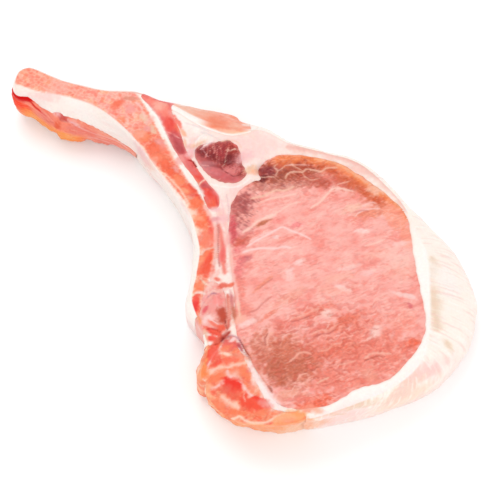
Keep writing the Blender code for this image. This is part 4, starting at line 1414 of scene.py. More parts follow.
    lines: tuple[Mark, ...] = marks_of(
        (VEIN, 0.22, 0.8, 0.04, (3.8, 18.3, 5.2, 19.3, 7.6, 20.6)),
        (VEIN, 0.22, 0.7, 0.04, (7.6, 20.6, 7.3, 22.5, 5.9, 23, 6.2, 24.2)),
        (VEIN, 0.22, 0.7, 0.04, (7.3, 22.5, 8, 23.7, 8.2, 24.8)),
        (VEIN, 0.28, 0.8, 0.04, (10.2, 21.5, 10.2, 23.4, 11.5, 24.6, 13.2, 25.5, 13.9, 27, 15.9, 27.8, 17.6, 28.4, 18.4,
            30.1, 20.7, 31.5)),
        (VEIN, 0.22, 0.6, 0.04, (13.2, 25.5, 14.6, 24.8, 16.4, 24.8, 18.1, 26.2)),
        (VEIN, 0.22, 0.6, 0.04, (9.5, 26, 10.7, 25.9, 13, 25.9)),
        (PALE, 0.22, 0.6, 0.04, (8.2, 24.8, 10.9, 26.7, 13.8, 28.3)),
        (VEIN, 0.34, 0.8, 0.05, (5.3, 11.7, 7.7, 14, 9.7, 17.1, 12, 18.5, 13.5, 20.7)),
        (THREAD, 0.28, 0.7, 0.05, (7.8, 11.8, 10, 14.5, 12.9, 17, 15.2, 19.3)),
        (THREAD, 0.28, 0.7, 0.05, (38.4, 15.5, 40.3, 17.6, 42, 20.1)),
        (THREAD, 0.34, 0.9, 0.06, (20.6, 17.6, 21.7, 20.1, 22.2, 22.4, 22.9, 25.5, 24.7, 26.7, 27.8, 27.7)),
        (THREAD, 0.22, 0.6, 0.05, (23.2, 27.2, 24.7, 28.8, 25.6, 30)),
        (PALE, 0.28, 0.8, 0.05, (31.9, 21.6, 32.6, 23.7, 34.5, 25.7, 36.5, 27.1)),
        (PALE, 0.22, 0.7, 0.05, (32.3, 25.2, 33.6, 27.4, 35.1, 27.9)),
        (PALE, 0.22, 0.7, 0.05, (11.5, 1.4, 12.8, 3.5, 14.3, 5.7)),
        (THREAD, 0.4, 0.9, 0.06, (8.5, 2.3, 9.6, 4.6, 10.2, 6.8, 11.5, 8.8, 13.1, 10.8)),
        (THREAD, 0.22, 0.7, 0.05, (13.1, 10.8, 14.1, 13.2, 15.4, 15.8, 17.4, 17.8)),
        (PALE, 0.34, 1, 0.08, (11.5, -0.6, 12.9, 2.2, 14.4, 4.9, 15.6, 7, 16.9, 9, 19.3, 9.2, 22.1, 9.7, 25.1, 9.8)),
        (PALE, 0.4, 1, 0.08, (11.5, -2.6, 12.9, -0.9, 15.4, 1.1, 18.2, 2.6, 19.8, 4.1, 21.8, 5)),
        # Cracks in painted shade.
        (CRACK_SHADE, 0.22, 0.4, -0.08, (20.3, -9.1, 21, -7.2, 22, -4.8)),
        (CRACK_SHADE, 0.18, 0.5, -0.06, (30.9, 22.3, 32.9, 24.2, 34.4, 24.9)),
        (CRACK_SHADE, 0.28, 0.45, -0.1, (21.4, -16.2, 22.8, -14.3, 23.3, -12.1, 24.3, -9.4)),
        # Flakes of the lower part: each raised pale edge is partly its own paler tissue and partly painted highlight,
        # and the dark line or crack beside it is painted shade.
        (PEACH, 0.34, 0.9, 0.2, (30.2, -21.2, 29.2, -20, 29.1, -18.5, 29.6, -17.6)),
        (PEACH, 0.34, 0.9, 0.2, (53.5, -11.4, 54.3, -9.5, 56.4, -8, 58.7, -6.8)),
        ((170, 90, 76), 0.22, 0.5, -0.2, (29.8, -21.5, 28.7, -20.1, 28.6, -18.5)),
        (PEACH, 0.34, 0.8, 0.2, (37.3, -22.2, 37.9, -20.4, 38.3, -18.9, 39.4, -17.9, 41, -17.5)),
        (PEACH, 0.28, 0.8, 0.2, (41.5, -25.6, 41.6, -23.7, 42.7, -22.5)),
        ((186, 92, 78), 0.22, 0.5, -0.15, (53.8, -11.9, 55.5, -9.6, 57.7, -8.2)),
        (PEACH, 0.28, 0.7, 0.15, (42.4, -15.8, 44, -14.5, 44.7, -12.5, 46.2, -11)),
        (PEACH, 0.28, 0.7, 0.15, (38.5, -13.1, 39.7, -11.1, 41.8, -9.6, 42.9, -7.3)),
        (PEACH, 0.28, 0.7, 0.15, (31.8, -12.1, 33.3, -10.5, 35, -8.2, 36.7, -5.9)),
        (PEACH, 0.28, 0.7, 0.15, (48.2, -16.7, 50.2, -14.9, 51.7, -13.3)),
        (CRACK_SHADE, 0.22, 0.6, -0.12, (39.2, -13.4, 40.6, -11.6, 42.2, -10.3, 43.3, -8.1)),
        (CRACK_SHADE, 0.22, 0.6, -0.12, (32.2, -12.7, 34.1, -10.8, 35.8, -8.5)),
        (VEIN, 0.28, 0.7, 0.15, (46.2, -23.4, 47.4, -21.5, 48.1, -20.5)),
    )

    def threads(self, x: Array, y: Array) -> Array:
        """Slow texture along the grain, bent by a broader one; threads of fat run along its zeros."""
        bend = 0.8 * Grain(15).fractal(x / 3.2, y / 3.2, 2)
        return Grain(16).streaks(x + bend, y - bend, self.grain_turn - 4.0, 4.2, 1.5, 3)

    def tough(self, x: Array, y: Array) -> Array:
        """How coarse the lean is.

        Args:
            x: Plan coordinate.
            y: Plan coordinate.

        Returns:
            Values from 0 in the pink middle to 1 in the brown lower part.
        """
        slow = Grain(13).fractal(x / 5.0, y / 5.0, 2)
        lower = Stain(42.0, -15.0, 21.0, 13.0, 45.0, FAWN).cover(x, y, slow)
        return np.maximum(lower, 0.6 * Stain(16.0, 24.0, 16.0, 6.0, 30.0, FAWN).cover(x, y, slow))

    def wrinkles(self, x: Array, y: Array) -> Array:
        """Short folds of the dark flank and top.

        Args:
            x: Plan coordinate.
            y: Plan coordinate.

        Returns:
            Values from -1 in a crease to 1 on a ridge.
        """
        where = np.zeros(len(x))
        for place in (Stain(6.0, 9.0, 7.5, 3.6, -80.0, FAWN), Stain(9.0, 21.5, 9.0, 3.6, 40.0, FAWN)):
            where = np.maximum(where, place.cover(x, y, Grain(13).fractal(x / 2.0, y / 2.0, 2)))
        return where * np.clip(1.6 * Grain(10).streaks(x, y, -7.0, 2.4, 0.5), -1.0, 1.0)

    def relief(self, site: Site) -> Array:
        """Fibre bundles and threads, which stand higher where the lean is coarse, and the marks.

        Args:
            site: Where the points lie.

        Returns:
            Heights over the plain form.
        """
        x, y = site.x, site.y
        bundles = Grain(3).streaks(x, y, self.grain_turn, 5.0, 1.2, 3)
        broad = Grain(4).over(site, 9.0, 2)
        crumbs = Grain(9).fractal(x / 1.3, y / 0.9)
        ragged = Grain(6).over(site, 1.5)
        coarse = self.tough(x, y)
        ridge = ramp(np.abs(self.threads(x, y)), 0.45, 0.0)
        height = 0.05 * bundles + 0.12 * broad + (0.04 + 0.17 * coarse) * ridge + 0.08 * coarse * crumbs
        return height + 0.09 * self.wrinkles(x, y) + raised(self.zones + self.lines, x, y, ragged)

    def paint(self, site: Site) -> Canvas:
        """Zones of colour, mottling and fibre, threads of fat with a painted shadow beside them, painted shade in the
        folds' creases and painted highlight on their ridges, then veins, pale flake edges that are partly painted
        highlight, and cracks in painted shade.

        Args:
            site: Where the points lie.

        Returns:
            The painted canvas.
        """
        under = site.on(Face.UNDER)
        x, y = site.x + 61.0 * under, site.y - 47.0 * under
        cut = site.on(Face.CUT)
        canvas = Canvas(site, (248, 168, 158))
        mottle = Grain(5).streaks(x, y, self.grain_turn - 10.0, 6.0, 3.2, 3)
        ragged = Grain(6).fractal(x / 1.5, y / 1.5)
        canvas.lay((252, 184, 174), 0.8 * ramp(mottle, 0.0, 0.7))
        canvas.lay((244, 146, 134), 0.8 * ramp(-mottle, 0.0, 0.7))
        canvas.draw(self.zones, 1.3 * ragged, cut + 0.7 * under)

        deep = ramp(-canvas.colour[:, 1], -168.0, -110.0)
        coarse = self.tough(x, y)
        thread = self.threads(x, y)
        patchy = ramp(Grain(8).fractal(x / 6.0, y / 6.0, 2), -0.6, 0.5)
        canvas.lay((228, 112, 98), (0.22 + 0.2 * coarse) * ramp(thread, 0.25, 0.8))
        pale = (0.2 + 0.35 * patchy) * (1.0 - 0.55 * deep)
        canvas.lay((252, 192, 178), pale * ramp(np.abs(thread), 0.3, 0.05))
        # Painted shadow: a dark band along one side of each raised thread of fat, stronger where the lean is coarse.
        canvas.lay((196, 92, 74), 0.3 * coarse * bell(thread - 0.42, 0.16))
        # Painted shade and highlight: the creases of the folds are darkened and their ridges lightened.
        fold = self.wrinkles(x, y)
        canvas.lay((150, 76, 72), 0.5 * ramp(-fold, 0.15, 0.8))
        canvas.lay((232, 156, 144), 0.45 * ramp(fold, 0.2, 0.8))
        fibre = Grain(7).streaks(x, y, self.grain_turn + 3.0, 2.6, 0.42, 3)
        grit = Grain(9).fractal(x / 0.75, y / 0.6, 2)
        canvas.vary((0.02 + 0.02 * patchy) * fibre + (0.02 + 0.05 * deep) * grit)
        canvas.lay((254, 214, 206), 0.35 * patchy * ramp(fibre, 0.45, 0.95))
        canvas.lay((206, 100, 88), (0.1 + 0.3 * deep) * ramp(-fibre, 0.40, 0.95))
        canvas.draw(self.lines, 0.8 * ragged, cut)
        return canvas


@dataclass
class CapMuscle(CutPiece):
    """The small dark muscle in the fat web, with torn upright fibres."""

    fibre_turn: float = 118.0
    marks: tuple[Mark, ...] = marks_of(
        (MAROON, -13.7, 16.8, 2, 1.4, 20, 1.1, -0.15), (MAROON, -10.7, 17.1, 2.3, 1.4, 42, 0.8, -0.1),
        ((180, 66, 70), -9, 19.6, 2.3, 1.7, 31), ((170, 62, 54), -6.5, 22.2, 1.9, 2, -50, 0.9),
        (RED, -6.8, 23.4, 1.1, 0.6, -11, 0.7, 0.1), (MAROON, -6.3, 18.1, 1, 1.7, -59, 0.9, -0.15),
        (MAROON, -2.5, 19.4, 1, 0.8, 31, 0.5), (PLUM, -7.8, 13.2, 3.9, 1.7, 20, 1.2, 0.1),
        ((176, 112, 116), -10.5, 13.8, 2, 0.8, 9, 0.9), (MAROON, -8.2, 15.2, 2, 0.6, 20, 0.6),
        (WINE, -3.6, 13.8, 3.5, 1.3, 20, 0.9), ((170, 62, 54), -1.3, 17.4, 1.7, 1.9, 31),
        ((226, 128, 126), -3.6, 16.6, 2.3, 1.8, 31, 1.3, 0.5), (WINE, -1.1, 14, 2.9, 0.8, 36),
        (MAROON, -5.9, 19.3, 1.6, 1.5, 31, 0.9, -0.1), (MAROON, -10.4, 17.8, 1.4, 2.5, 31, 0.5),
        ((176, 112, 116), -10.3, 14.6, 3.5, 0.8, 40, 0.7),
        (PINK, 0.16, 0.8, 0.1, (-12.1, 17.7, -11.9, 16.8, -11.6, 15.9)),
        (CREAM, 0.18, 0.9, 0.15, (-8.3, 21.1, -7.1, 21.3, -6.2, 22.1, -5, 22.5)),
        (CREAM, 0.16, 0.8, 0.12, (-7.7, 20.8, -7.3, 19.4, -6.7, 18.1, -6.4, 16.2)),
        (PINK, 0.14, 0.8, 0.1, (-11.9, 20.7, -10.9, 19.5, -10.5, 18.3)),
        (PINK, 0.14, 0.7, 0.1, (-11, 20.9, -10.3, 19.9, -9.6, 18.3)),
        (MAROON, 0.16, 0.9, -0.3, (-7.4, 16.2, -5.9, 15.3, -4.1, 14.9, -2.1, 15, -1, 16.5, -1.1, 18)),
        (BLUSH, 0.12, 0.6, 0.1, (-7.1, 11.2, -5.3, 11.6, -4.6, 12.4)),
        (BLUSH, 0.12, 0.6, 0.1, (-12.8, 13.1, -11.2, 13.4, -9.4, 14.2)),
    )

    def relief(self, site: Site) -> Array:
        """Torn fibres in the upper half, smoother flesh below, and the marks.

        Args:
            site: Where the points lie.

        Returns:
            Heights over the plain form.
        """
        upper = ramp(site.y, 15.5, 18.0)
        fibres = Grain(21).streaks(site.x, site.y, self.fibre_turn, 2.6, 0.7)
        ragged = Grain(23).over(site, 1.2)
        smooth = 0.1 * Grain(22).over(site, 1.5, 2)
        return 0.35 * upper * fibres + smooth + raised(self.marks, site.x, site.y, ragged)

    def paint(self, site: Site) -> Canvas:
        """Dark fibres over maroon above, paler flesh below and pale seams.

        Args:
            site: Where the points lie.

        Returns:
            The painted canvas.
        """
        under = site.on(Face.UNDER)
        ragged = Grain(23).over(site, 1.2)
        canvas = Canvas(site, (178, 76, 74))
        canvas.draw(self.marks, ragged, 1.0 - 0.5 * under)
        upper = ramp(site.y, 15.0, 17.0) * (1.0 - under)
        fibres = Grain(24).streaks(site.x, site.y, self.fibre_turn, 2.4, 0.38)
        canvas.lay(MAROON, 0.6 * upper * ramp(-fibres, 0.05, 0.6))
        canvas.lay((214, 112, 100), 0.6 * upper * ramp(fibres, 0.1, 0.6))
        canvas.lay((238, 180, 168), 0.6 * upper * ramp(fibres, 0.5, 0.9))
        canvas.lay((240, 140, 138), 0.3 * (1.0 - upper))
        canvas.vary(0.06 * ragged)
        canvas.lay((224, 150, 138), 0.5 * bell(site.edge, 0.4))
        return canvas


@dataclass
class RibMuscle(CutPiece):
    """The thin muscle along the rib: salmon, bright red and wine-dark by turns."""

    marks: tuple[Mark, ...] = marks_of(
        # the thin muscle on the rib
        (SALMON, -31.7, 22.5, 3.8, 1.2, -9, 1.2, 0.05), (SALMON, -28.7, 21.8, 3.2, 1.7, -19, 1.3, 0.1),
        (PINK, -25.7, 22.2, 2.1, 1.1, -21, 0.9), (RED, -25, 19, 2.7, 1.7, -30, 1, 0.2),
        (VERMILION, -22.4, 19.6, 1.8, 1.1, -31, 0.8, 0.1), (WINE, -20.3, 15.2, 3.8, 2.2, -23, 1.4, 0.15),
        ((180, 66, 70), -19.1, 14.2, 2.1, 1.1, -30, 0.7), (ROSE, -22.5, 15, 1.8, 0.6, -30, 0.6),
        (ROSE, -15.6, 11.8, 3.1, 0.8, -16, 1.1, -0.1), (RED, -11.5, 10.8, 2.3, 1.4, -16, 0.9, 0.1),
        (ROSE, -12.5, 10.9, 1.7, 0.8, -16), (VERMILION, -9.7, 8.4, 1.7, 0.9, -6, 0.9, 0.1),
        (WINE, -6.9, 8.4, 2, 1.2, -11, 1, 0.15), (RED, -4.5, 6.1, 3.4, 1.6, -28, 1.4, 0.3),
        (VERMILION, -2.7, 4.8, 1.7, 1.1, -30, 0.7, 0.1), (ROSE, -4.7, 5.3, 1.4, 0.5, -30, 0.5),
        (CREAM, 0.22, 0.9, 0.15, (-9, 6.7, -9, 8.3, -8.4, 9.9, -7.6, 10.9)),
        (BLUSH, 0.12, 0.6, 0.05, (-24.4, 17, -22.5, 17.1, -20.4, 16.9)),
        (BLUSH, 0.12, 0.5, 0.05, (-20.2, 19.1, -19.9, 16.5)),
    )

    def relief(self, site: Site) -> Array:
        """Low fibre bundles along the rib, and the marks."""
        ragged = Grain(32).over(site, 1.8)
        bundles = Grain(31).streaks(site.x, site.y, -42.0, 3.5, 1.1)
        return 0.10 * bundles + raised(self.marks, site.x, site.y, ragged)

    def paint(self, site: Site) -> Canvas:
        """Patches of red with fibres along the rib and pale seams.

        Args:
            site: Where the points lie.

        Returns:
            The painted canvas.
        """
        ragged = Grain(32).over(site, 1.8)
        canvas = Canvas(site, (232, 100, 96))
        canvas.draw(self.marks, ragged)
        fibres = Grain(33).streaks(site.x, site.y, -42.0, 2.8, 0.5)
        canvas.lay((248, 160, 148), 0.3 * ramp(fibres, 0.25, 0.85))
        canvas.lay((170, 54, 60), 0.3 * ramp(-fibres, 0.3, 0.9))
        canvas.lay((250, 190, 176), 0.35 * bell(site.edge, 0.4))
        canvas.lay(FILM, self.film(site, site.edge))
        return canvas


@dataclass
class Cartilage(CutPiece):
    """The gristly joint between rib and backbone, translucent and pink."""

    def relief(self, site: Site) -> Array:
        """Small soft folds."""
        return 0.2 * Grain(36).over(site, 1.7, 2)

    def paint(self, site: Site) -> Canvas:
        """Cloudy pink with finer pale and red fibres running towards the backbone.

        Args:
            site: Where the points lie.

        Returns:
            The painted canvas.
        """
        ragged = Grain(37).over(site, 1.2)
        fibres = Grain(38).streaks(site.x, site.y, -58.0, 3.0, 0.35)
        canvas = Canvas(site, (246, 176, 164))
        canvas.lay(PINK, 0.5 * ramp(ragged, 0.0, 0.7))
        canvas.lay(WHITE, 0.45 * ramp(fibres, 0.2, 0.8))
        canvas.lay(ROSE, 0.35 * ramp(-fibres, 0.3, 0.9))
        return canvas


@dataclass
class Chine(CutPiece):
    """Broken backbone: red and orange marrow between pale webs, with craggy sides."""

    def relief(self, site: Site) -> Array:
        """Lumps and crumbs of broken bone that die away at the borders."""
        lumps = Grain(52).over(site, 2.4)
        return ramp(site.edge, 0.0, 1.4) * (0.35 * lumps - 0.15)

    def side_relief(self, site: Site) -> Array:
        """Lumps of broken bone on the side."""
        return 0.55 * Grain(53).fractal(site.along / 4.0, site.z / 5.0)

    def paint(self, site: Site) -> Canvas:
        """Orange-red marrow, mottled and grainy; the lip of bone at the right is lighter.

        Args:
            site: Where the points lie.

        Returns:
            The painted canvas.
        """
        side, under = site.on(Face.SIDE), site.on(Face.UNDER)
        blotch = Grain(51).over(site, 2.2)
        ragged = Grain(54).over(site, 0.9)
        canvas = Canvas(site, (249, 140, 104))
        canvas.lay(VERMILION, 0.8 * ramp(blotch, 0.0, 0.6))
        canvas.lay(CREAM, 0.5 * ramp(-blotch, 0.25, 0.8))
        _, step, value = Grain(55).cells(site.x + 0.5 * ragged, site.y + 0.5 * blotch, 1.2)
        canvas.lay(CREAM, 0.25 * ramp(step, 0.3, 0.05))
        canvas.lay(RED, 0.3 * ramp(value, 0.5, 0.9))
        canvas.vary(0.05 * ragged)
        lumps = Grain(56).fractal(site.along / 3.0, site.z / 3.5)
        canvas.lay((251, 174, 128), 0.8 * side)
        canvas.lay((243, 118, 82), 0.7 * side * ramp(lumps, -0.1, 0.5))
        canvas.lay((255, 226, 206), 0.6 * side * ramp(-lumps, 0.2, 0.7))
        canvas.lay((250, 156, 104), 0.75 * side * ramp(site.x, 32.0, 40.0))
        canvas.lay((249, 200, 172), 0.8 * side * ramp(site.x + 1.5 * ragged, 48.0, 53.0))
        canvas.lay((250, 190, 160), 0.25 * under)
        return canvas


MARROW_OUTLINE: Points = (
    (-69.8, 8.2), (-66.1, 8.6), (-62.7, 9.3), (-58.8, 10.7), (-55, 12), (-50.7, 12.7), (-44.7, 12.2), (-38.5, 11.4),
    (-32.4, 10.6), (-28.1, 9.6), (-22.1, 6.8), (-15, 4), (-8.2, 1.2), (-3.6, -2.1), (-0.6, -5.6), (1.6, -8.9),
    (3.2, -12.6), (4.6, -16.5), (6.6, -20.5), (9.4, -24.6), (11.8, -27), (12.6, -24.4), (11.2, -22.8), (9.9, -19.4),
    (8.4, -15.6), (7.2, -12.4), (6.2, -9.4), (5.2, -6.6), (3.4, -4.2), (1.4, -0.6), (-2, 2.6), (-5.6, 4.6), (-9.6, 6.8),
    (-14.4, 9), (-20, 11.8), (-25.6, 15.2), (-30.5, 18.3), (-34, 20.4), (-38.4, 22.6), (-42.5, 23.2), (-47.5, 20.8),
    (-53, 18.8), (-58.6, 17.6), (-64.5, 16.8), (-69.5, 15.8), (-72.6, 12.6), (-72, 9.6),
)


@dataclass
class RibBone(CutPiece):
    """The rib, sawn lengthwise: marrow in lobes and grains between pale walls."""

    marrow: Array = field(default_factory=lambda: closed_curve(MARROW_OUTLINE, 5))
    # Marks of the skin by distance along the rim and height.
    skin_marks: tuple[Mark, ...] = marks_of(
        ((250, 226, 220), 10.3, 17.1, 4.5, 2.6, -12, 0.7), (WHITE, 27.3, 15.1, 7.4, 2.6, -33, 0.9),
        # further down the rib
        (PALE, 14, 18.2, 4, 1, 0, 0.7), ((250, 204, 184), 49.9, 12.5, 7, 2.6, 64, 0.7),
        (WHITE, 39.3, 14.1, 4.3, 5.1, 8), (WHITE, 60, 7.2, 5.5, 3.2, 31), (SHELL, 46.9, 13.3, 3.4, 6.1, -8),
        (SHELL, 51.4, 1.3, 3, 0.8, 0), (SHELL, 0.22, 0.8, 0, (39.8, 4.8, 44.5, 5.9, 48.2, 4.8, 51.3, 2.3, 53.9, 0.2)),
        ((248, 214, 210), 68.7, 18.5, 2.7, 1.1, -9, 0.7),
    )

    def marrow_depth(self, site: Site) -> Array:
        """Find the distance into the marrow band from the nearest point of its outline.

        Args:
            site: Where the points lie.

        Returns:
            The distance, which is negative outside the band.
        """
        plan = np.stack((site.x, site.y), axis=1)
        distance, _ = nearest_on_line(plan, self.marrow, True)
        return np.where(inside_loop(plan, self.marrow), distance, -distance)

    def relief(self, site: Site) -> Array:
        """Small grains in the marrow, which lies a little lower than the walls.

        Args:
            site: Where the points lie.

        Returns:
            Heights over the plain form.
        """
        band = ramp(self.marrow_depth(site), -0.2, 0.8)
        near, step, value = Grain(62).cells(site.x, site.y, 1.25)
        grains = 0.14 * (1.0 - 1.3 * near) + 0.06 * value - 0.08 * ramp(step, 0.25, 0.0)
        inner = ramp(np.minimum(site.edge, site.rim), 0.0, 0.8)
        return inner * band * (grains - 0.1)

    def side_relief(self, site: Site) -> Array:
        """Slight waves of the bone and its skin."""
        return 0.22 * Grain(63).fractal(site.along / 6.0, site.level * 2.0)

    def paint(self, site: Site) -> Canvas:
        """Marrow, pale bone walls, and the skin that covers the sides.

        The marrow is salmon mottled with orange and cream, redder down the neck.

        Args:
            site: Where the points lie.

        Returns:
            The painted canvas.
        """
        x, y = site.x, site.y
        side = site.on(Face.SIDE)
        ragged = Grain(64).over(site, 1.1)
        depth = self.marrow_depth(site) + 0.22 * ragged
        canvas = Canvas(site, (253, 234, 224))
        canvas.lay((252, 222, 214), 0.5 * ramp(ragged, -0.2, 0.6))
        canvas.lay((254, 242, 232), 0.7 * bell(site.edge, 0.9))

        near, step, value = Grain(66).cells(x + 0.35 * ragged, y, 1.15)
        blush = Grain(65).fractal(x / 3.0, y / 2.2)
        marrow = Canvas(site, (248, 166, 152))
        marrow.lay(SALMON, 0.8 * ramp(blush, 0.0, 0.6))
        marrow.lay(AMBER, 0.7 * ramp(-blush, 0.05, 0.6))
        marrow.lay(VERMILION, 0.8 * ramp(x + 0.5 * y, -28.0, -20.0))
        marrow.lay((250, 142, 108), 0.5 * ramp(-x, 44.0, 60.0))
        marrow.lay(CREAM, 0.4 * ramp(step + 0.1 * ragged, 0.35, 0.04))
        marrow.lay(VERMILION, 0.45 * ramp(value, 0.65, 0.95) * ramp(near, 0.7, 0.2))
        marrow.lay(CREAM, 0.35 * ramp(value, 0.3, 0.02))
        lines = Grain(67).streaks(x, y, 14.0, 3.0, 0.5)
        marrow.lay(SALMON, 0.4 * ramp(lines, 0.1, 0.7))
        band = ramp(depth, -0.25, 0.45) * (1.0 - side)
        canvas.lay(marrow.colour, band)

        wall = site.unrolled()
        near_end = ramp(wall.x, 90.0, 70.0)
        neck = ramp(wall.x, 66.0, 76.0) * (wall.x < 118.0)
        waves = Grain(68).streaks(wall.x, wall.y, 4.0, 7.0, 2.2)
        skin = Canvas(wall, (253, 238, 230))
        skin.lay((250, 222, 216), 0.5 * ramp(waves, 0.0, 0.7))
        skin.lay((255, 248, 244), 0.5 * ramp(-waves, 0.1, 0.7))
        skin.draw(self.skin_marks, ragged, near_end)
        skin.lay((255, 248, 240), 0.8 * neck * ramp(site.level, 0.55, 0.9))
        skin.lay((240, 206, 204), 0.65 * neck * ramp(-site.level, -0.6, -0.3))
        back = ramp(wall.x, 116.0, 122.0)
        strips = Grain(69).streaks(wall.x, wall.y, 3.0, 14.0, 1.8, 3)
        skin.lay((246, 200, 186), 0.6 * back)
        skin.lay((236, 132, 118), 0.6 * back * ramp(strips, 0.1, 0.7))
        skin.lay((254, 236, 226), 0.8 * back * ramp(-strips, 0.1, 0.6))
        canvas.lay(skin.colour, side)
        canvas.lay(FILM, back * self.film(site, site.edge))
        return canvas


@dataclass
class Fat(CutPiece):
    """The fat cover, the web round the small muscles and the thin fascia beside the eye."""

    # Flap over the small muscle and lip beside the eye, as rows for swells.
    folds: tuple[tuple[float, ...], ...] = (
        (-13.6, 20.6, 2.6, 1.3, 0.5), (-16.6, 17.4, 1.2, 2.2, 0.4), (1.6, 20.0, 1.0, 2.6, 0.5),
    )
    stains: tuple[Mark, ...] = marks_of(
        ((252, 226, 218), -9, 22, 20, 8, 10, 0.7), (PALE, -3, 25, 8, 4, 30, 0.7), (PALE, 2, 10, 3, 6, 20),
        (WHITE, -21, 22, 7, 1.6, -8), (PALE, -16, 18, 2.2, 1.6, 60, 0.7), (BLUSH, 25.6, 33.6, 3.6, 0.9, 12, 0.7),
        ((241, 184, 172), 1.4, 0.9, 0, (6, 30, 16, 34, 26, 35.6, 36, 34, 44, 30.6)),
        ((252, 226, 218), 1.6, 0.8, 0, (66.5, -4, 65, -12, 60, -20, 54, -28, 50, -33)),
        (BLUSH, 1.4, 0.8, 0, (60, -21, 55, -27, 51, -32)),
    )
    lines: tuple[Mark, ...] = (Strand(BACKBONE_GAP, 0.15, (190, 110, 100), 0.5),)

    # Marks of the side by distance along the rim and height.
    side_marks: tuple[Mark, ...] = marks_of(
        ((236, 206, 180), 0.8, 0.8, -0.15, (214.3, 18.3, 209.5, 18.5, 204, 18.5, 198.6, 18.3, 194.6, 18)),
        ((236, 206, 180), 192, 15.2, 1.7, 0.8, 59), (PALE, 183.3, 16.6, 5.8, 2.3, -25, 0.9),
        (CREAM, 176.7, 10.5, 7.5, 7, -4, 0.9), ((246, 208, 192), 177.2, 14.1, 6.5, 3.6, 42),
        ((254, 244, 238), 208.8, 16.7, 4.6, 2.6, 16),
        (BEIGE, 0.5, 0.7, -0.1, (152.8, 18.9, 157.4, 18.6, 163, 18.9, 167.6, 19)), (PALE, 160, 12, 8, 8, 0),
        ((249, 178, 142), 150.5, 12, 3.2, 14, 0, 1.2), ((249, 178, 142), 154.5, 8, 3.4, 5, -39),
        (BEIGE, 160, 16, 3.6, 1.2, -45), ((236, 206, 180), 166, 17.6, 5.5, 2, -20),
    )

    def relief(self, site: Site) -> Array:
        """Soft swelling web, a flap over the cap muscle and a lip beside the eye.

        Args:
            site: Where the points lie.

        Returns:
            Heights over the plain form.
        """
        x, y = site.x, site.y
        swell = 0.14 * Grain(71).over(site, 4.0)
        distance, _ = nearest_on_line(np.stack((x, y), axis=1), open_curve(BACKBONE_GAP, 4), False)
        gap = -0.35 * bell(distance, 0.4)
        web = ramp(x, 46.0, 52.0)
        ridges = 0.05 * Grain(72).streaks(x, y, -60.0, 6.0, 0.8)
        return swell * (1.0 - 0.5 * web) + swells(self.folds, x, y) + gap + ridges

    def side_relief(self, site: Site) -> Array:
        """Long soft ridges and small dimples on the outer side."""
        ridges = Grain(73).streaks(site.along, site.z, 78.0, 9.0, 1.6, 3)
        broad = Grain(74).fractal(site.along / 9.0, site.z / 6.0, 2)
        return 0.12 * ridges + 0.35 * broad

    def paint(self, site: Site) -> Canvas:
        """Cream-white fat, pinker in the web and on the sides, with seams and small stains.

        Args:
            site: Where the points lie.

        Returns:
            The painted canvas.
        """
        x, y = site.x, site.y
        side, under, cut = site.on(Face.SIDE), site.on(Face.UNDER), site.on(Face.CUT)
        ragged = Grain(75).over(site, 2.0)
        canvas = Canvas(site, (253, 240, 230))
        canvas.lay((252, 226, 218), 0.7 * ramp(x, 40.0, 8.0))
        canvas.draw(self.stains, ragged, cut + 0.6 * under)
        canvas.lay((253, 218, 208), 0.35 * ramp(ragged, 0.1, 0.8) * ramp(x, 50.0, 20.0))
        canvas.lay((255, 253, 250), 0.6 * ramp(x, 44.0, 54.0) * (1.0 - side))
        canvas.draw(self.lines, ragged, cut)
        canvas.lay((251, 206, 192), 0.5 * bell(site.edge, 0.3) * (1.0 - side))

        wall = site.unrolled()
        ridges = Grain(76).streaks(wall.x, wall.y, 78.0, 7.0, 0.7, 3)
        clouds = Grain(77).fractal(wall.x / 10.0, wall.y / 7.0)
        canvas.lay((255, 243, 233), side)
        canvas.lay((251, 222, 214), 0.8 * side * ramp(0.72 - site.level + 0.3 * clouds, 0.0, 0.5))
        canvas.draw(self.side_marks, ragged, side, wall)
        canvas.lay((246, 204, 196), 0.45 * side * ramp(ridges, 0.2, 0.8))
        canvas.lay((255, 250, 244), 0.5 * side * ramp(-ridges, 0.2, 0.8))
        canvas.lay((250, 226, 216), 0.5 * under)
        return canvas


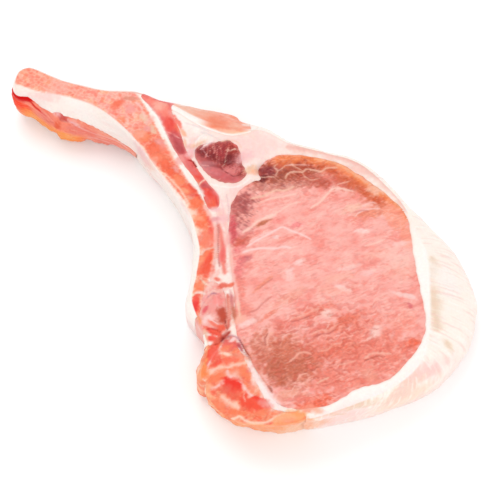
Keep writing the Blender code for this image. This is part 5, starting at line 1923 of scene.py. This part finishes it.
@dataclass
class OuterMuscle(CutPiece):
    """The thin muscle on the outer side of the chop, whose edge shows on the cut face."""

    # Tones of the strip: colour, strength, x, y, and the radii where it is full and gone.
    tones: tuple[tuple[Colour, float, float, float, float, float], ...] = (
        ((244, 134, 100), 0.7, -14.9, 26.2, 1.5, 3.5), ((247, 196, 170), 0.4, -9.7, 28.2, 1.0, 3.0),
    )

    def relief(self, site: Site) -> Array:
        """Low waves along the strip."""
        return 0.1 * Grain(81).over(site, 3.0, 2)

    def side_relief(self, site: Site) -> Array:
        """Fibre bundles along the side."""
        return 0.3 * Grain(82).streaks(site.along, site.z, 4.0, 8.0, 1.6, 3)

    def paint(self, site: Site) -> Canvas:
        """Salmon lean, paler at its upper border and more orange below.

        Args:
            site: Where the points lie.

        Returns:
            The painted canvas.
        """
        wall = site.unrolled()
        side = site.on(Face.SIDE)
        ragged = Grain(83).fractal(wall.x / 3.0, wall.y / 2.0)
        fibres = Grain(84).streaks(wall.x, wall.y, 5.0, 6.0, 0.6, 3)
        canvas = Canvas(site, (250, 152, 124))
        canvas.lay((250, 138, 102), 0.8 * ramp(0.8 - site.level + 0.1 * ragged, 0.0, 0.3))
        canvas.lay((253, 206, 188), 0.5 * ramp(fibres, 0.2, 0.8))
        canvas.lay((232, 112, 84), 0.4 * side * ramp(-fibres, 0.2, 0.8))
        canvas.lay((246, 196, 172), 0.75 * ramp(-site.x, 13.0, 25.0))
        canvas.lay((255, 156, 98), 0.7 * ramp(site.x, -13.0, -6.0) * (1.0 - side))
        for colour, strength, x, y, full, gone in self.tones:
            canvas.lay(colour, strength * ramp(np.hypot(site.x - x, site.y - y), gone, full))
        ends = site.along[side > 0.0]
        canvas.lay(FILM, self.film(site, np.minimum(site.along - ends.min(), ends.max() - site.along)))
        left = ramp(site.x, -14.0, -20.0)
        border = 0.955 + 0.01 * ragged
        white = ramp(site.level, border, border + 0.02)
        canvas.lay((254, 244, 238), white * np.maximum(left, ramp(site.edge + 0.1 * ragged, 0.9, 0.3)))
        return canvas


@dataclass
class TipMuscle:
    """The thin muscle in the hollow of the rib's inner wall, torn along its lower border.

    At each station along the rim the profile runs down the outside from the upper border to
    the lower one, turns in and comes back up the bottom of the hollow.
    """

    name: str
    slot: str
    finish: Finish
    stations: int = 240
    outer: int = 30
    inner: int = 6
    bulge: float = 0.42
    gap: float = 0.04
    # Marks by distance along the rim and height.
    marks: tuple[Mark, ...] = marks_of(
        # orange torn margin
        (FLAME, 6.8, 9.3, 3.4, 1.8, -67, 1.1), ((255, 170, 96), 9.5, 4.4, 3.6, 2.6, -68, 1, 0.1),
        (FLAME, 13, 4.3, 2.4, 4.1, 11, 1, 0.1), ((255, 170, 96), 19.9, 5.3, 3.8, 2.7, -36, 1.1, 0.1),
        (FLAME, 23.2, 2.6, 2.5, 3.3, -34), (EMBER, 17.8, 11, 1.4, 1.6, -25, 0.9, -0.1),
        (AMBER, 22.8, 6.7, 2.1, 1.1, -44, 0.7),
        # end
        ((255, 86, 56), 3.2, 10.4, 3.6, 4.6, 0, 1.4), ((255, 86, 56), 7.4, 11.1, 2.1, 1.6, -42, 0.7),
        ((214, 16, 20), 1.25, 1.4, -0.2, (1, 14.5, 2.8, 14.9, 4.9, 15.5, 7, 15.9, 9.2, 16.1)),
        ((214, 16, 20), 0.4, 0.9, -0.1, (9, 16.1, 9.9, 14.1, 11.5, 12.9, 13.6, 12.2)),
        ((255, 70, 50), 4.5, 11.8, 2.6, 1.8, 0, 0.7),
        # middle
        (CORAL, 13.5, 11.2, 2.9, 2.7, 0), ((206, 92, 88), 19.8, 13.9, 1.9, 0.9, -25, 1, -0.2),
        (SHELL, 16.9, 14.9, 1.9, 0.9, -10), (SHELL, 23.5, 12.4, 2.2, 0.8, -21, 0.6), (CORAL, 23.1, 9.4, 3, 1.7, -34),
        (CORAL, 27.5, 8.8, 4.2, 2.1, -31, 0.9), (CORAL, 33.1, 3.9, 4.7, 2.2, -24),
        (SHELL, 0.22, 0.9, 0.15, (21.2, 13.6, 24, 11.9, 27.5, 9.6, 31.5, 8.1, 35.8, 6.8, 39.1, 5)),
        (CORAL, 0.22, 0.9, -0.1, (22.1, 12.8, 24.8, 10.8, 29.3, 8.7, 33.4, 7.1, 37.3, 5.1, 39.9, 3.1)),
        (SHELL, 0.22, 0.8, 0.15, (27.2, 5.9, 30.7, 5.3, 34, 3.9, 37.1, 3, 41.1, 3.5)),
        (BRICK, 0.16, 0.6, -0.15, (10.1, 9.4, 12.9, 9.9, 16.3, 11.5)),
        ((196, 84, 66), 0.16, 0.6, -0.15, (8.8, 8.5, 10.2, 6.6, 11.7, 5.1)),
        (BRICK, 0.16, 0.5, -0.1, (25.2, 4.7, 28.7, 3.1, 32.1, 2.4)),
    )

    def paint(self, site: Site) -> Canvas:
        """Scarlet at the rib end, then salmon fibres with a torn orange margin.

        Args:
            site: Where the points lie.

        Returns:
            The painted canvas.
        """
        wall = site.unrolled()
        ragged = Grain(91).fractal(wall.x / 2.2, wall.y / 1.5)
        fibres = Grain(92).streaks(wall.x, wall.y, -24.0, 5.0, 0.5, 3)
        canvas = Canvas(wall, (250, 146, 122))
        canvas.lay((250, 172, 152), 0.7 * ramp(wall.x, 23.0, 33.0))
        canvas.draw(self.marks, ragged)
        share = (BED.top(wall.x) - site.level) / (BED.top(wall.x) - BED.foot(wall.x))
        torn = ramp(wall.x, 4.0, 8.0) * ramp(wall.x, 27.0, 21.0)
        canvas.lay((255, 160, 92), 0.9 * torn * ramp(share + 0.1 * ragged, 0.36, 0.62))
        canvas.lay((236, 96, 72), 0.35 * ramp(fibres + 0.3 * ragged, 0.15, 0.8))
        canvas.lay((254, 212, 190), 0.35 * ramp(-fibres, 0.3, 0.9))
        return canvas

    def build(self, net: CutFace) -> bpy.types.Object:
        """Make the closed mesh and its colours.

        Args:
            net: The shared cut face, for its rim and wall.

        Returns:
            The finished object.
        """
        along = np.linspace(BED.start + 0.5, BED.end - 0.8, self.stations)
        place = np.interp(along, net.around, np.arange(len(net.around)))
        size = self.outer + self.inner
        u = np.concatenate((np.linspace(0.0, 1.0, self.outer), np.linspace(0.97, 0.03, self.inner)))
        back = np.arange(size) >= self.outer
        s, share = np.repeat(along, size), np.tile(u, len(along))
        behind = np.tile(back, len(along))
        rag = Grain(93).fractal(s / 2.6, 0.0 * s)
        top = BED.top(s) + 0.035 + 0.012 * Grain(94).fractal(s / 1.6, 0.0 * s, 2)
        foot = np.maximum(BED.foot(s) + 0.05 * rag, 0.02)
        level = top - (top - foot) * share
        points, normal = net.wall(np.repeat(place, size), level)
        ends = ramp(s, BED.start, BED.start + 3.0) * ramp(-s, -BED.end, 5.0 - BED.end)
        fibres = Grain(95).streaks(s, level * FORM.thickness, -4.0, 7.0, 1.3, 3)
        full = np.sqrt(np.clip(np.sin(math.pi * np.clip(share, 0.0, 1.0)), 0.0, 1.0))
        outside = self.bulge * ends * full * (1.0 + 0.5 * fibres) + 0.05 - 0.4 * ramp(share, 0.07, 0.0)
        outside -= 1.3 * ends * ramp(share, 0.86, 1.0) ** 2
        inside = self.gap - BED.hollow(s, level)
        points[:, :2] += normal * np.where(behind, np.minimum(inside, outside - 0.06), outside)[:, None]

        ring = np.arange(len(along) * size).reshape(len(along), size)
        after = np.roll(ring, -1, 1)
        faces = np.stack((ring[:-1], after[:-1], after[1:], ring[1:]), axis=-1).reshape(-1, 4)
        poles = np.array([points[ring[0]].mean(0), points[ring[-1]].mean(0)])
        caps = np.vstack(
            (
                np.column_stack((np.full(size, len(points)), after[0], ring[0])),
                np.column_stack((np.full(size, len(points) + 1), ring[-1], after[-1])),
            )
        )
        points = np.vstack((points, poles))
        ends_at = np.concatenate((s, along[[0, -1]]))
        level = np.concatenate((level, points[-2:, 2] / FORM.thickness))
        site = Site(
            points[:, 0], points[:, 1], level, ends_at, (BED.top(ends_at) - level) * FORM.thickness,
            np.zeros(len(points)), np.full(len(points), int(Face.SIDE)),
        )
        tint = self.paint(site).light()
        return make_object(self.name, points, faces.tolist() + caps.tolist(), tint, self.finish)


# ---------------------------------------------------------------- stage


@dataclass(frozen=True)
class Studio:
    """Pale floor, soft light from all round and the camera over the chop's near side."""

    target: tuple[float, float, float] = (0.00929, 0.00364, 0.009)
    distance: float = 0.380
    azimuth: float = 31.0
    elevation: float = 70.0
    lens: float = 100.0
    floor_size: float = 3.0
    sky: float = 0.86
    # Lamps: name, place, size and power.
    lamps: tuple[tuple[str, tuple[float, float, float], float, float], ...] = (
        ("window", (-0.35, 0.25, 0.7), 0.5, 2.1),
        ("fill", (0.15, -0.7, 0.4), 0.8, 2.0),
        ("side", (0.6, 0.1, 0.3), 0.6, 1.0),
    )

    def stand(self, item: bpy.types.Object, place: Vector) -> None:
        """Put a camera or a lamp in the scene, facing the chop.

        Args:
            item: The camera or lamp.
            place: Where it stands, in metres.
        """
        item.location = place
        item.rotation_euler = (Vector(self.target) - place).to_track_quat("-Z", "Y").to_euler()
        bpy.context.scene.collection.objects.link(item)

    def camera(self) -> None:
        """Stand the camera at the viewing angle and make it the scene's."""
        a, e = math.radians(self.azimuth), math.radians(self.elevation)
        away = Vector((math.sin(a) * math.cos(e), -math.cos(a) * math.cos(e), math.sin(e)))
        data = bpy.data.cameras.new("camera")
        data.lens = self.lens
        data.sensor_width = 36.0
        data.clip_start = 0.01
        camera = bpy.data.objects.new("camera", data)
        self.stand(camera, Vector(self.target) + away * self.distance)
        bpy.context.scene.camera = camera

    def floor(self) -> None:
        """Lay the pale floor under the chop."""
        half = self.floor_size / 2.0
        mesh = bpy.data.meshes.new("floor")
        corners = [(-half, -half, 0.0), (half, -half, 0.0), (half, half, 0.0), (-half, half, 0.0)]
        mesh.from_pydata(corners, [], [(0, 1, 2, 3)])
        paper = bpy.data.materials.new("floor_paper")
        paper.use_nodes = True
        shader = paper.node_tree.nodes["Principled BSDF"]
        dial(shader, Base_Color=(0.95, 0.95, 0.95, 1.0), Roughness=0.9, Specular_IOR_Level=0.1)
        mesh.materials.append(paper)
        floor = bpy.data.objects.new("floor", mesh)
        bpy.context.scene.collection.objects.link(floor)

    def light(self, name: str, place: tuple[float, float, float], size: float, power: float) -> None:
        """Hang one soft square lamp that faces the chop.

        Args:
            name: Name of the lamp.
            place: Where it hangs, in metres.
            size: Length of its side.
            power: Its power in watts.
        """
        data = bpy.data.lights.new(name, "AREA")
        data.shape = "SQUARE"
        data.size = size
        data.energy = power
        self.stand(bpy.data.objects.new(name, data), Vector(place))

    def build(self) -> None:
        """Set the stage."""
        self.camera()
        self.floor()
        world = bpy.data.worlds.new("studio")
        world.use_nodes = True
        dial(world.node_tree.nodes["Background"], Color=(1.0, 1.0, 1.0, 1.0), Strength=self.sky)
        bpy.context.scene.world = world
        for lamp in self.lamps:
            self.light(*lamp)
        bpy.context.scene.view_settings.view_transform = "Standard"


def main() -> None:
    """Build the chop piece by piece and set the studio."""
    logging.basicConfig(level=logging.INFO, format="%(message)s")
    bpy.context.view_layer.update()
    net = CutFace(FORM)
    LOG.info("cut face: %d corners", len(net.xy))
    lean = Finish("eye_lean")
    pieces = [
        (EyeMuscle("eye_lean_piece", "eye_lean", Layer.EYE, lean, levels=4), "eye_muscle"),
        (CapMuscle("cap_lean_piece", "dark_lean", Layer.CAP, Finish("cap_lean", coat=0.25), levels=4), "cap_muscle"),
        (RibMuscle("rib_lean_piece", "rib_lean", Layer.RIB_MUSCLE, Finish("rib_lean"), levels=20), "rib_muscle"),
        (OuterMuscle("outer_lean_piece", "outer_lean", Layer.OUTER_MUSCLE, Finish("outer_lean"), levels=28),
         "outer_muscle"),
        (Cartilage("gristle_piece", "cartilage", Layer.CARTILAGE, Finish("gristle"), levels=6), "cartilage"),
        (Chine("backbone_piece", "spongy_bone", Layer.CHINE, Finish("backbone"), levels=30), "chine_bone"),
        (RibBone("rib_piece", "rib_bone", Layer.RIB, Finish("rib_bone"), levels=30), "rib_bone"),
        (Fat("fat_piece", "fat", Layer.FAT, Finish("fat", inner_light=0.2), levels=30), "fat"),
        (TipMuscle("tip_lean_piece", "tip_lean", Finish("tip_lean", specular=0.1, coat=0.0)), "tip_muscle"),
    ]
    for piece, node in pieces:
        item = piece.build(net)
        LOG.info("%s: %d points, %d faces", item.name, len(item.data.vertices), len(item.data.polygons))
        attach(item, BODY)
        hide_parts(node)
    Studio().build()


if __name__ == "__main__":
    main()
